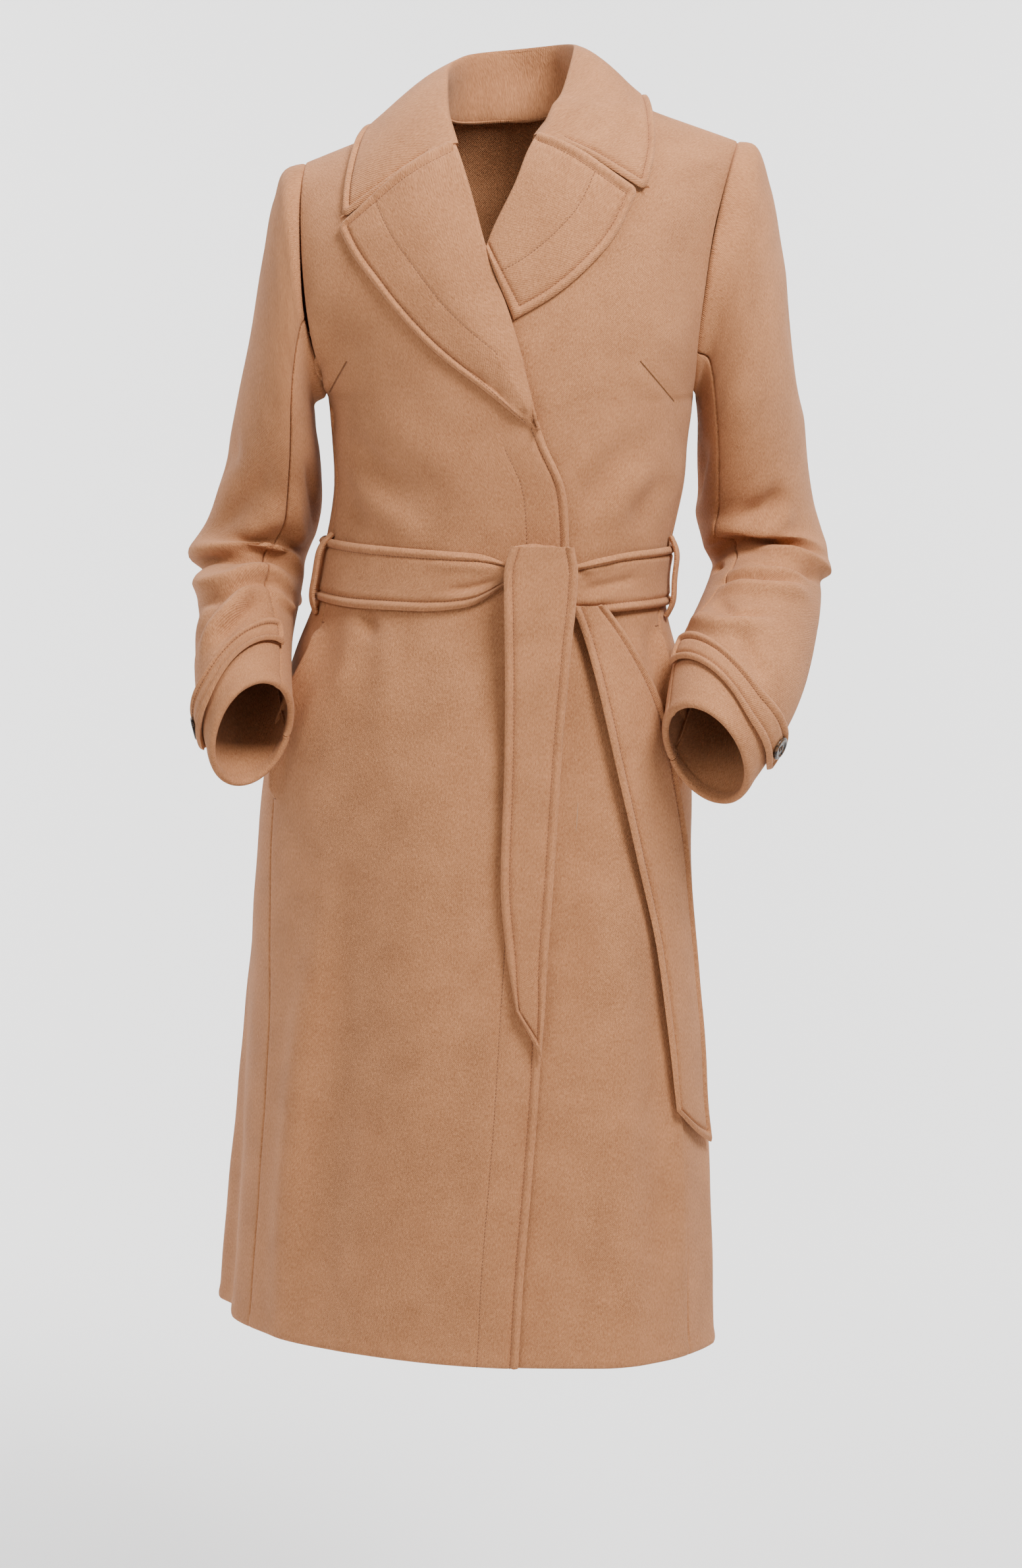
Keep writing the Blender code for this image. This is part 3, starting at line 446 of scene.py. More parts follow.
def straightWalks(start, second, steps):
    # straight on is three neighbours round; where a diagonal is turned it may be either of two
    paths = [[start, second]]
    for _ in range(steps - 1):
        longer = []
        for path in paths:
            order = around(path[-1])
            at = order.index(path[-2])
            for skip in {len(order) // 2, (len(order) + 1) // 2}:
                longer.append(path + [order[(at + skip) % len(order)]])
        paths = longer
    return paths


def findRings(bm, across, up):
    corners = [vert for vert in bm.verts if len(vert.link_edges) != 6]
    walks = {(corner, steps): [path for second in around(corner)
                               for path in straightWalks(corner, second, steps) if path[-1] in corners]
             for corner in corners for steps in {across, up}}
    rings = []
    for first in corners:
        for one in walks[first, across]:
            for two in walks[one[-1], up]:
                for three in walks[two[-1], across]:
                    for four in walks[three[-1], up]:
                        ring = one[:-1] + two[:-1] + three[:-1] + four[:-1]
                        if four[-1] is first and len(set(ring)) == len(ring):
                            rings.append(ring)
    return rings


def insideRing(bm, ring):
    fence = {bm.edges.get(pair) for pair in zip(ring, ring[1:] + ring[:1])}
    left, sheets = set(bm.faces), []
    while left:
        seed = left.pop()
        sheet, waiting = {seed}, [seed]
        while waiting:
            for edge in waiting.pop().edges:
                for other in edge.link_faces:
                    if edge not in fence and other in left:
                        left.remove(other)
                        sheet.add(other)
                        waiting.append(other)
        sheets.append(sheet)
    return sheets


def readGrid(node, cells, facing, upward):
    across, up = cells
    bm = bmesh.new()
    bm.from_mesh(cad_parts[node].data)
    bmesh.ops.remove_doubles(bm, verts=bm.verts, dist=mergeDistance)
    bm.normal_update()
    best, outside, corners = -1.0, None, None
    for ring in findRings(bm, across, up):
        for sheet in insideRing(bm, ring):
            hub = sum((face.calc_center_median() for face in sheet), Vector()) / len(sheet)
            faced = sum(face.normal.dot(Vector(facing) if facing else face.calc_center_median() - hub)
                        * face.calc_area() for face in sheet)
            if len(sheet) == 2 * across * up and faced > best:
                best, outside, corners = faced, sheet, ring
    if not outside:
        raise ValueError(node + ": no sheet of " + str(cells) + " cells")
    # the ring runs the way the faces do, and starts at the lower left
    edge = bm.edges.get((corners[0], corners[1]))
    face = [near for near in edge.link_faces if near in outside][0]
    loop = [loop for loop in face.loops if loop.edge is edge][0]
    if loop.vert is not corners[0]:
        corners = [corners[0]] + corners[:0:-1]
        corners = corners[up:] + corners[:up]
    turns = [0, across + up] + ([across, 2 * across + up] if across == up else [])

    def rise(start):
        low = corners[(start + across // 2) % len(corners)]
        high = corners[(start + across + up + across // 2) % len(corners)]
        return (high.co - low.co).dot(Vector(upward))
    start = max(turns, key=rise)
    ring = corners[start:] + corners[:start]
    rows = [ring[:across + 1]]
    leftSide = [ring[0]] + ring[:-up - 1:-1]
    used = set(bm.faces) - outside
    for row in range(1, up + 1):
        made = [leftSide[row]]
        for column in range(across):
            corner, right, above = rows[-1][column], rows[-1][column + 1], made[column]
            edge = bm.edges.get((corner, right))
            face = [near for near in edge.link_faces if near not in used][0]
            tip = [vert for vert in face.verts if vert not in (corner, right)][0]
            side = bm.edges.get((right, above) if tip is above else (corner, tip))
            other = [near for near in side.link_faces if near is not face][0]
            used.update((face, other))
            if tip is above:
                tip = [vert for vert in other.verts if vert not in (right, above)][0]
            made.append(tip)
        rows.append(made)
    grid = np.array([[vert.co[:] for vert in row] for row in rows])
    bm.free()
    return grid


# Smooth sheets through those points

seamCell = 0.008          # the narrow cells along a cut piece's side seams


def shares(cells, narrowEdges):
    if not narrowEdges:
        return np.linspace(0.0, 1.0, cells + 1)
    return np.concatenate(([0.0], np.linspace(seamCell, 1.0 - seamCell, cells - 1), [1.0]))


def smooth(value):
    value = np.clip(value, 0.0, 1.0)
    return value * value * (3.0 - 2.0 * value)


def fadeOut(distance, reach):
    # one at an edge, nothing from reach on
    return 1.0 - smooth(distance / reach)


def bell(distance, reach):
    return np.exp(-(distance / reach) ** 2)


def unit(arrows):
    return arrows / np.maximum(np.linalg.norm(arrows, axis=-1, keepdims=True), 1e-12)


def squareTo(ahead, out):
    # the part of ahead that is square to out, at length one
    return unit(ahead - out * (ahead * out).sum(axis=-1, keepdims=True))


def runOf(steps):
    # running length along the first axis
    return np.concatenate((np.zeros((1,) + steps.shape[1:]), np.cumsum(steps, axis=0)))


def meanLengths(points):
    return runOf(np.linalg.norm(np.diff(points[..., :3], axis=0), axis=-1).mean(axis=1))


def nearestTo(values, wanted):
    return int(np.argmin(np.abs(values - wanted)))


def follow(points, knots, places):
    steps = np.diff(knots).reshape((-1,) + (1,) * (points.ndim - 1))
    rise = np.diff(points, axis=0) / steps
    slope = np.empty_like(points)
    slope[1:-1] = (rise[:-1] * steps[1:] + rise[1:] * steps[:-1]) / (steps[1:] + steps[:-1])
    slope[0], slope[-1] = rise[0], rise[-1]
    index = np.clip(np.searchsorted(knots, places, "right") - 1, 0, len(knots) - 2)
    shape = (-1,) + (1,) * (points.ndim - 1)
    width = steps.reshape(-1)[index].reshape(shape)
    share = ((places - knots[index]) / steps.reshape(-1)[index]).reshape(shape)
    jump = points[index + 1] - points[index]
    first, last = slope[index] * width, slope[index + 1] * width
    return (points[index] + first * share + (3.0 * jump - 2.0 * first - last) * share ** 2
            + (first + last - 2.0 * jump) * share ** 3)


# distances from an edge at which a sheet has a line of points
rimLines = [0.0, 0.0005, 0.0012, 0.0024, 0.0040, 0.0056, 0.0067, 0.0075, 0.0083, 0.0096, 0.0125]
seamLines = [0.0, 0.0007, 0.0018, 0.0045]
bottomRim = [0.0, 0.0006, 0.0016, 0.0035, 0.006, 0.009]
loopRim = [0.0, 0.0005, 0.0012, 0.0022]
rimLine = rimLines.index(0.0075)        # the topstitching's line
hemFrom = bottomRim.index(0.0035)       # a hem's roll starts here
denseLines = 401                        # how finely a row is followed before its lines are laid


def linesRound(stitchedAt, before, wide):
    # one line on the way, and five close together at a row of topstitching
    return [before] + [stitchedAt + aside for aside in (-wide, -0.0008, 0.0, 0.0008, wide)]


def spread(total, first, last, middle):
    # distances of the lines across a stretch: close by its two ends, even between
    reach = first[-1] + last[-1]
    tight = min(1.0, 0.8 * total / reach)
    start = np.array(first) * tight
    end = total - np.array(last[::-1]) * tight
    return np.concatenate((start, np.linspace(start[-1], end[0], middle + 2)[1:-1], end))


def openSheet(grid, narrowEdges, edges, middle):
    # edges: lines at left, right, bottom and top; middle: how many lines between them
    up, across = grid.shape[0] - 1, grid.shape[1] - 1
    marks = np.zeros(grid.shape[:2] + (2,))
    marks[..., 0] = shares(across, narrowEdges)[None, :]
    marks[..., 1] = np.linspace(0.0, 1.0, up + 1)[:, None]
    full = np.concatenate((grid, marks), axis=2)
    upKnots = meanLengths(grid)
    height = upKnots[-1]
    upAt = spread(height, edges[2], edges[3], middle[1])
    rows = follow(full, upKnots, upAt).transpose(1, 0, 2)
    acrossKnots = meanLengths(rows)
    dense = follow(rows, acrossKnots, np.linspace(0.0, acrossKnots[-1], denseLines))
    run = runOf(np.linalg.norm(np.diff(dense[..., :3], axis=0), axis=-1))
    laid, side = [], []
    for row in range(len(upAt)):
        at = spread(run[-1, row], edges[0], edges[1], middle[0])
        laid.append([np.interp(at, run[:, row], dense[:, row, channel]) for channel in range(5)])
        side.append(np.stack((at, run[-1, row] - at)))
    laid = np.array(laid).transpose(0, 2, 1)
    side = np.array(side)
    sheet = {
        "base": laid[..., :3],
        "share": laid[..., 3:],
        "left": side[:, 0, :],
        "right": side[:, 1, :],
        "bottom": np.repeat(upAt[:, None], laid.shape[1], axis=1),
        "top": np.repeat(height - upAt[:, None], laid.shape[1], axis=1),
    }
    sheet["normal"] = gridNormals(sheet["base"])
    return sheet


toFront, toBack, toTop = (0, -1, 0), (0, 1, 0), (0, 0, 1)


def sheetOf(node, spec, facing, edges, narrowEdges=False, upward=toTop):
    return openSheet(readGrid(node, spec["cells"], facing, upward), narrowEdges, edges, spec["middle"])


def gridNormals(points):
    return unit(np.cross(np.gradient(points, axis=1), np.gradient(points, axis=0)))


def moveBase(sheet, move):
    sheet["base"] = sheet["base"] + move
    sheet["normal"] = gridNormals(sheet["base"])


seamTuck = {"depth": 0.0030, "reach": 0.0005, "from": 0.010, "fade": 0.016}
topTuck = 0.0009


def tuckEdge(sheet, side, reach=seamTuck["reach"], depth=seamTuck["depth"], most=None):
    # turns the outermost line of points in and a little past the seam; most is its share along a side
    base, normal = sheet["base"], sheet["normal"]
    if side in ("left", "right"):
        share = 1.0 if most is None else most[:, None]
        reach = reach * share
        depth = depth * share * smooth((sheet["bottom"][:, :1] - seamTuck["from"]) / seamTuck["fade"])
    edge, inner = {"left": (np.s_[:, 0], np.s_[:, 2]), "right": (np.s_[:, -1], np.s_[:, -3]),
                   "bottom": (np.s_[0], np.s_[2]), "top": (np.s_[-1], np.s_[-3])}[side]
    ahead = unit(base[edge] - base[inner])
    base[edge] = base[edge] + ahead * reach - normal[edge] * depth


def roundCorner(sheet, side, end, radius):
    # moves the points near a square corner in to an arc
    inward = radius - np.stack((sheet[side], sheet[end]))
    near = (inward > 0.0).all(axis=0)
    pull = np.where(near, 1.0 - inward.max(axis=0) / np.maximum(np.hypot(*inward), 1e-9), 0.0)
    across = unit(np.gradient(sheet["base"], axis=1)) * (1.0 if side == "left" else -1.0)
    up = unit(np.gradient(sheet["base"], axis=0)) * (1.0 if end == "bottom" else -1.0)
    moveBase(sheet, across * (inward[0] * pull)[..., None] + up * (inward[1] * pull)[..., None])


def evenOut(points, rounds):
    for _ in range(rounds):
        points[1:-1] = 0.25 * points[:-2] + 0.5 * points[1:-1] + 0.25 * points[2:]


def layWeave(sheet, across):
    # the weave follows the upright run of each line of points, so that it isn't drawn together anywhere
    sheet["upRun"] = runOf(np.linalg.norm(np.diff(sheet["base"][..., 1:], axis=0), axis=2))
    sheet["run"] = across


def nearestRim(sheet, sides):
    return np.minimum.reduce([sheet[side] for side in sides])


def inPlane(sheet):
    return sheet["base"][..., 0], sheet["base"][..., 2]


rimShape = {"round": 0.0014, "roundReach": 0.0010, "puff": 0.0017, "puffAt": 0.0036, "puffReach": 0.0025,
            "groove": 0.0017, "grooveAt": 0.0075, "grooveReach": 0.0013}
seamShape = {"round": 0.0007, "roundReach": 0.0014}
hemShape = {"puff": 0.0010, "puffAt": 0.007, "puffReach": 0.0050, "steps": 6, "turnedUp": 0.007}
stitchGroove = {"depth": 0.0005, "reach": 0.0012}


def rimHeight(away):
    # a swelled edge: rounded off, padded by its turned-in cloth, drawn down by the stitching
    shape = rimShape
    height = -shape["round"] * np.exp(-away / shape["roundReach"])
    height += shape["puff"] * bell(away - shape["puffAt"], shape["puffReach"])
    return height - shape["groove"] * bell(away - shape["grooveAt"], shape["grooveReach"])


def seamHeight(sheet, sides):
    return sum(-seamShape["round"] * bell(sheet[side], seamShape["roundReach"]) for side in sides)


def hemHeight(sheet):
    return hemShape["puff"] * bell(sheet["bottom"] - hemShape["puffAt"], hemShape["puffReach"])


def grooveHeight(distance, depth, reach):
    return -depth * bell(distance, reach)


foldLimit = {"deepest": 0.0108, "steepest": 0.92}       # metres, and share of its width
foldSteps = 5                                           # straight parts for each point of its path
foldFade = 0.35                                         # share of its length at each end
farOff = 9.0


def foldHeight(across, up, folds, ridge=1.0, trough=1.0):
    # each fold follows a bent line and fades at both ends: (points, width, height, lean)
    height = np.zeros(across.shape)
    for path, width, rise, lean in folds:
        most = min(foldLimit["deepest"], foldLimit["steepest"] * width)
        rise = min(max(rise * (ridge if rise > 0.0 else trough), -most), most)
        points = np.array(path, dtype=float)
        knots = runOf(np.hypot(*np.diff(points, axis=0).T))
        if len(points) > 2:
            points = follow(points, knots, np.linspace(0.0, knots[-1], foldSteps * len(points)))
        lengths = np.hypot(*np.diff(points, axis=0).T)
        total, run = lengths.sum(), 0.0
        nearest = np.full(across.shape, farOff)
        side, along = np.zeros(across.shape), np.zeros(across.shape)
        for start, end, length in zip(points, points[1:], lengths):
            ahead = (end - start) / length
            right, above = across - start[0], up - start[1]
            at = np.clip(right * ahead[0] + above * ahead[1], 0.0, length)
            gap = np.hypot(right - at * ahead[0], above - at * ahead[1])
            nearer = gap < nearest
            nearest = np.where(nearer, gap, nearest)
            side = np.where(nearer, right * ahead[1] - above * ahead[0], side)
            along = np.where(nearer, run + at, along)
            run += length
        reach = width * np.where(side > 0.0, 1.0 + lean, 1.0 - lean)
        fade = smooth(along / (foldFade * total)) * smooth((total - along) / (foldFade * total))
        height += rise * fade * bell(nearest, reach)
    return height


def unevenness(sheet, amount):
    x, y, z = (sheet["base"][..., axis] for axis in range(3))
    wave = np.sin(31.0 * x + 17.0 * z + 1.3) * np.sin(23.0 * y - 19.0 * z + 0.4)
    return amount * (wave + 0.6 * np.sin(67.0 * z + 41.0 * x - 29.0 * y + 2.1))


# Turning a sheet into a piece

def turnHem(points, radius):
    # carries the lowest line on round to the inside and a little way up again
    steps, reach = hemShape["steps"], hemShape["turnedUp"]
    out = gridNormals(points)[0]
    ahead = points[0] - points[1]
    for line in (out, ahead):           # square to the edge at both ends too
        line[:2], line[-2:] = line[2], line[-3]
    ahead = squareTo(ahead, out)
    turns = math.pi * np.arange(1, steps + 1) / steps
    rows = [points[0] + radius * (ahead * math.sin(turn) - out * (1.0 - math.cos(turn))) for turn in turns]
    rows.append(rows[-1] - ahead * reach)
    extra = np.append(radius * turns, math.pi * radius + reach)[::-1]
    return np.concatenate((np.array(rows[::-1]), points)), extra


rimBevel = {"width": 0.0005, "segments": 2, "degrees": 55.0}
wornReach = 0.0025


def addWall(piece, wall):
    thicken = piece.modifiers.new("wall", "SOLIDIFY")
    thicken.thickness = wall
    thicken.offset = -1.0


def makeCloth(node, sheet, height, wall, surface=None, edgeSides=(), hem=0.0):
    outer = sheet["base"] + sheet["normal"] * height[..., None]
    sheet["outer"] = outer
    sheet["outerNormal"] = gridNormals(outer)
    run = sheet.get("run", sheet["left"])
    upRun = sheet.get("upRun", sheet["bottom"])
    worn = np.exp(-nearestRim(sheet, edgeSides) / wornReach) if edgeSides else np.zeros(run.shape)
    if hem:
        outer, extra = turnHem(outer[hemFrom:], hem)
        upRun = np.concatenate((upRun[hemFrom][None, :] - extra[:, None], upRun[hemFrom:]))
        run, worn = (np.concatenate((np.repeat(line[hemFrom:hemFrom + 1], len(extra), axis=0), line[hemFrom:]))
                     for line in (run, worn))
    rows, columns = outer.shape[:2]
    bm = bmesh.new()
    bmesh.ops.create_grid(bm, x_segments=columns - 1, y_segments=rows - 1, size=0.5)
    weave = bm.loops.layers.uv.new("weave")
    edgeLayer = bm.verts.layers.float.new("edge")
    for vert in bm.verts:
        column = round((vert.co.x + 0.5) * (columns - 1))
        row = round((vert.co.y + 0.5) * (rows - 1))
        vert.index = row * columns + column
        vert[edgeLayer] = worn[row, column]
        vert.co = outer[row, column]
    flatRun, flatUp = run.reshape(-1), upRun.reshape(-1)
    for face in bm.faces:
        for loop in face.loops:
            loop[weave].uv = (flatRun[loop.vert.index], flatUp[loop.vert.index])
    mesh = meshFrom(bm, node + "_cloth")
    mesh.shade_smooth()
    mesh.materials.append(surface or wool)
    piece = addObject(node + "_cloth", mesh)
    addWall(piece, wall)
    rounded = piece.modifiers.new("rim", "BEVEL")
    rounded.width = rimBevel["width"]
    rounded.segments = rimBevel["segments"]
    rounded.limit_method = "ANGLE"
    rounded.angle_limit = math.radians(rimBevel["degrees"])
    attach(piece, "root")
    return piece


# Stitches, laid on a line of a sheet

stitch = {"pitch": 0.0031, "half": 0.00125, "thick": 0.00042, "high": 0.00034, "sunk": 0.00005}
bartack = {"pitch": 0.0011, "half": 0.0010, "thick": 0.00055, "high": 0.00045, "sunk": 0.0001}
buttonThread = {"pitch": 0.0036, "half": 0.0019, "thick": 0.0005, "high": 0.0005, "sunk": 0.0}
stitchAhead = 0.0008            # its direction is read this far to both sides
stitchStand = 0.4               # share of its height that stands on the cloth


def lineOf(sheet, corners):
    # points and normals along the sheet's own lines, from corner to corner: (column, row)
    places = []
    for (column, row), (nextColumn, nextRow) in zip(corners, corners[1:]):
        count = max(abs(nextColumn - column), abs(nextRow - row))
        for step in range(count):
            places.append((column + (nextColumn - column) * step // count, row + (nextRow - row) * step // count))
    places.append(corners[-1])
    points = np.array([sheet["outer"][row, column] for column, row in places])
    normals = np.array([sheet["outerNormal"][row, column] for column, row in places])
    return points, normals


def rowsAt(run, values, places):
    return np.stack([np.interp(places, run, values[:, axis]) for axis in range(3)], axis=1)


def stitchPlaces(points, normals, pitch):
    run = runOf(np.linalg.norm(np.diff(points, axis=0), axis=1))
    count = max(int(run[-1] / pitch), 1)
    at = (np.arange(count) + 0.5) * run[-1] / count
    ahead = rowsAt(run, points, at + stitchAhead) - rowsAt(run, points, at - stitchAhead)
    return zip(rowsAt(run, points, at), ahead, rowsAt(run, normals, at))


def makeStitches(name, lines, size=stitch):
    bm = bmesh.new()
    for points, normals in lines:
        for middle, ahead, out in stitchPlaces(points, normals, size["pitch"]):
            ahead = unit(ahead)
            side = unit(np.cross(out, ahead))
            up = np.cross(ahead, side)
            place = np.eye(4)
            place[:3, 0], place[:3, 1] = ahead * size["half"], side * size["thick"]
            place[:3, 2] = up * size["high"]
            place[:3, 3] = middle + up * (size["high"] * stitchStand - size["sunk"])
            bmesh.ops.create_icosphere(bm, subdivisions=1, radius=1.0, matrix=Matrix(place.tolist()))
    mesh = meshFrom(bm, name)
    mesh.shade_smooth()
    mesh.materials.append(thread)
    piece = addObject(name, mesh)
    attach(piece, "root")
    return piece


def finishCloth(node, lines=(), tacks=()):
    # lines are topstitched, tacks are bartacked
    pieces = [makeStitches(node + "_stitching", lines)] if lines else []
    if tacks:
        pieces.append(makeStitches(node + "_bartacks", tacks, bartack))
    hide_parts(node)


# Fronts: the right one laps over the left

frontRight = {
    "cells": (12, 28),
    "middle": (52, 214),
    "placket": 0.036,
    "placketLines": (0.020, 0.0022),
    "breakHeight": -0.255,      # the front edge is topstitched below this, and rolls above it
    "breakFade": 0.02,
    "placketStop": 4,           # lines of points below that
    "wall": 0.0024,
    "flat": (0.34, 1.11),
    "area": 0.275,
    "restsOn": ["back"],
    "dart": ((-0.139, -0.204), (-0.155, -0.230)),
    "folds": [
        ([(-0.148, -0.262), (-0.118, -0.286), (-0.092, -0.306), (-0.070, -0.318)], 0.014, -0.0036, 0.3),
        ([(-0.140, -0.236), (-0.100, -0.262), (-0.060, -0.285), (-0.015, -0.318)], 0.020, 0.0026, 0.0),
        ([(-0.146, -0.280), (-0.124, -0.312), (-0.092, -0.338), (-0.066, -0.362)], 0.013, 0.0030, 0.2),
        ([(-0.152, -0.286), (-0.138, -0.318), (-0.120, -0.356)], 0.010, -0.0028, 0.0),
        ([(-0.122, -0.409), (-0.121, -0.424), (-0.116, -0.440)], 0.006, -0.0050, 0.0),
        ([(-0.132, -0.410), (-0.136, -0.440), (-0.150, -0.500)], 0.010, 0.0024, 0.0),
        ([(-0.108, -0.412), (-0.104, -0.450), (-0.112, -0.540)], 0.013, 0.0022, 0.0),
        ([(0.014, -0.410), (0.012, -0.480), (-0.004, -0.600), (-0.014, -0.720)], 0.018, -0.0034, 0.1),
        ([(-0.050, -0.415), (-0.066, -0.560), (-0.078, -0.800), (-0.084, -0.980)], 0.034, 0.0040, 0.1),
        ([(-0.130, -0.600), (-0.150, -0.780), (-0.170, -1.058), (-0.172, -1.120)], 0.020, -0.0046, 0.0),
        ([(-0.156, -0.640), (-0.182, -0.800), (-0.202, -1.058), (-0.204, -1.120)], 0.012, 0.0052, 0.0),
        ([(-0.010, -0.700), (-0.020, -0.860), (-0.026, -1.040)], 0.022, 0.0022, 0.0),
    ],
}
frontLeft = {
    "cells": (12, 28),
    "middle": (46, 214),
    "wall": 0.0024,
    "flat": (0.38, 1.09),
    "area": 0.26,
    "restsOn": ["back"],
    "rimFrom": -0.120,
    "underFrom": -0.262,        # from here down the rim lies flat under the overlap
    "underShare": 0.8,
    "rimFade": 0.02,
    "clearFrom": 0.03,          # nothing rises under the overlap
    "clearFade": 0.03,
    "dart": ((0.108, -0.204), (0.137, -0.237)),
    "folds": [
        ([(0.060, -0.345), (0.066, -0.318), (0.084, -0.290), (0.112, -0.262)], 0.014, -0.0036, 0.2),
        ([(0.078, -0.350), (0.094, -0.318), (0.124, -0.288)], 0.014, 0.0026, 0.0),
        ([(0.098, -0.352), (0.116, -0.318), (0.140, -0.296)], 0.012, -0.0030, 0.0),
        ([(0.118, -0.412), (0.124, -0.450), (0.142, -0.500)], 0.010, -0.0034, 0.2),
        ([(0.104, -0.414), (0.106, -0.460), (0.116, -0.540)], 0.012, 0.0026, 0.0),
        ([(0.046, -0.460), (0.048, -0.560), (0.040, -0.720), (0.036, -0.860)], 0.024, -0.0038, 0.0),
        ([(0.078, -0.560), (0.084, -0.720), (0.086, -0.960)], 0.026, 0.0034, 0.0),
        ([(0.118, -0.640), (0.124, -0.800), (0.126, -1.040)], 0.018, -0.0036, 0.0),
        ([(0.140, -0.660), (0.150, -0.820), (0.152, -1.040)], 0.014, 0.0028, 0.0),
    ],
}
mouth = {"top": -0.429, "bottom": -0.584, "fade": 0.012, "lift": 0.0060, "liftReach": 0.022,
         "puff": 0.0010, "puffAt": 0.0040, "puffReach": 0.0026,
         "sunk": 0.0007, "sunkAt": 0.0085, "sunkReach": 0.0020,
         "backSunk": 0.0018, "backReach": 0.018}
armhole = {"from": -0.235, "fade": 0.015, "reach": 0.0014, "depth": 0.0022,
           "easeReach": 0.035, "easeRounds": 24, "easeSides": 0.02}
dartShape = {"swell": 0.0011, "swellAt": 0.007, "swellReach": 0.006, "sunk": 0.0008, "sunkReach": 0.004}
body = {"hem": 0.0025, "gain": (1.45, 1.30), "uneven": 0.0003}      # gain: how full the folds stand


def mouthShare(z):
    return smooth((z - mouth["bottom"]) / mouth["fade"]) * smooth((mouth["top"] - z) / mouth["fade"])


def easeArmhole(sheet):
    # evens the form out upwards near the armhole's lower end, away from the sides
    even = sheet["base"].copy()
    evenOut(even, armhole["easeRounds"])
    share = bell(sheet["base"][..., 2] - armhole["from"], armhole["easeReach"])
    share *= smooth(np.minimum(sheet["left"], sheet["right"]) / armhole["easeSides"])
    move = ((even - sheet["base"]) * sheet["normal"]).sum(axis=2) * share
    moveBase(sheet, sheet["normal"] * move[..., None])


def tuckSides(sheet, sides):
    # the side seams lie close, and reach further under the sleeve at the armhole
    for side in sides:
        z = sheet["base"][:, 0 if side == "left" else -1, 2]
        above = smooth((z - armhole["from"]) / armhole["fade"])
        tuckEdge(sheet, side, most=1.0 - above)
        tuckEdge(sheet, side, armhole["reach"], armhole["depth"], most=above)
    tuckEdge(sheet, "top", reach=topTuck)


def dartHeight(sheet, dart):
    # the cloth swells softly on both sides of the sewn line
    x, z = inPlane(sheet)
    (x0, z0), (x1, z1) = dart
    run = np.array((x1 - x0, z1 - z0))
    length = np.hypot(*run)
    share = ((x - x0) * run[0] + (z - z0) * run[1]) / length ** 2
    aside = np.abs((x - x0) * run[1] - (z - z0) * run[0]) / length
    fade = smooth((share + 0.2) / 0.4) * smooth((1.25 - share) / 0.3)
    swell = dartShape["swell"] * bell(aside - dartShape["swellAt"], dartShape["swellReach"])
    return fade * (swell - dartShape["sunk"] * bell(aside, dartShape["sunkReach"]))


def openMouth(sheet, side):
    # the pocket's mouth: the front's edge stands a little off the back between the bartacks
    away = sheet[side]
    height = mouth["lift"] * fadeOut(away, mouth["liftReach"])
    height += mouth["puff"] * bell(away - mouth["puffAt"], mouth["puffReach"])
    height -= mouth["sunk"] * bell(away - mouth["sunkAt"], mouth["sunkReach"])
    return mouthShare(sheet["base"][..., 2]) * height


def bartackLines(sheet, side):
    z = sheet["base"][:, 0 if side == "left" else -1, 2]
    lines = []
    for height in (mouth["top"], mouth["bottom"]):
        row = nearestTo(z, height)
        columns = [column if side == "left" else -1 - column for column in (1, 2, 3, 4)]
        points, normals = sheet["outer"][row, columns], sheet["outerNormal"][row, columns]
        points[-1] = 0.55 * points[-2] + 0.45 * points[-1]
        lines.append((points, normals))
    return lines


def buildFrontRight():
    spec = frontRight
    near = spec["placket"]
    rightLines = rimLines + linesRound(near, *spec["placketLines"])
    sheet = sheetOf("front_right", spec, toFront, (seamLines, rightLines, bottomRim, seamLines), True)
    easeArmhole(sheet)
    layWeave(sheet, -sheet["right"])
    x, z = inPlane(sheet)
    stitched = smooth((spec["breakHeight"] - z) / spec["breakFade"])
    rim = rimHeight(sheet["right"]) + grooveHeight(sheet["right"] - near, **stitchGroove)
    height = rim * stitched + seamHeight(sheet, ["right"]) * (1.0 - stitched)
    height += seamHeight(sheet, ["left", "top"]) + hemHeight(sheet)
    height += foldHeight(x, z, spec["folds"], *body["gain"]) + dartHeight(sheet, spec["dart"])
    height += unevenness(sheet, body["uneven"]) + openMouth(sheet, "left")
    tuckSides(sheet, ["left"])
    surface = makeWool("camelWoolRightFront", spec["dart"])
    piece = makeCloth("front_right", sheet, height, spec["wall"], surface, ["right"], body["hem"])
    last = sheet["base"].shape[1] - 1
    column, placketColumn = last - rimLine, last - rightLines.index(near)
    top = nearestTo(z[:, -1], spec["breakHeight"])
    lines = [lineOf(sheet, [(column, 1), (column, top)]),
             lineOf(sheet, [(placketColumn, 1), (placketColumn, top - spec["placketStop"])])]
    finishCloth("front_right", lines, bartackLines(sheet, "left"))


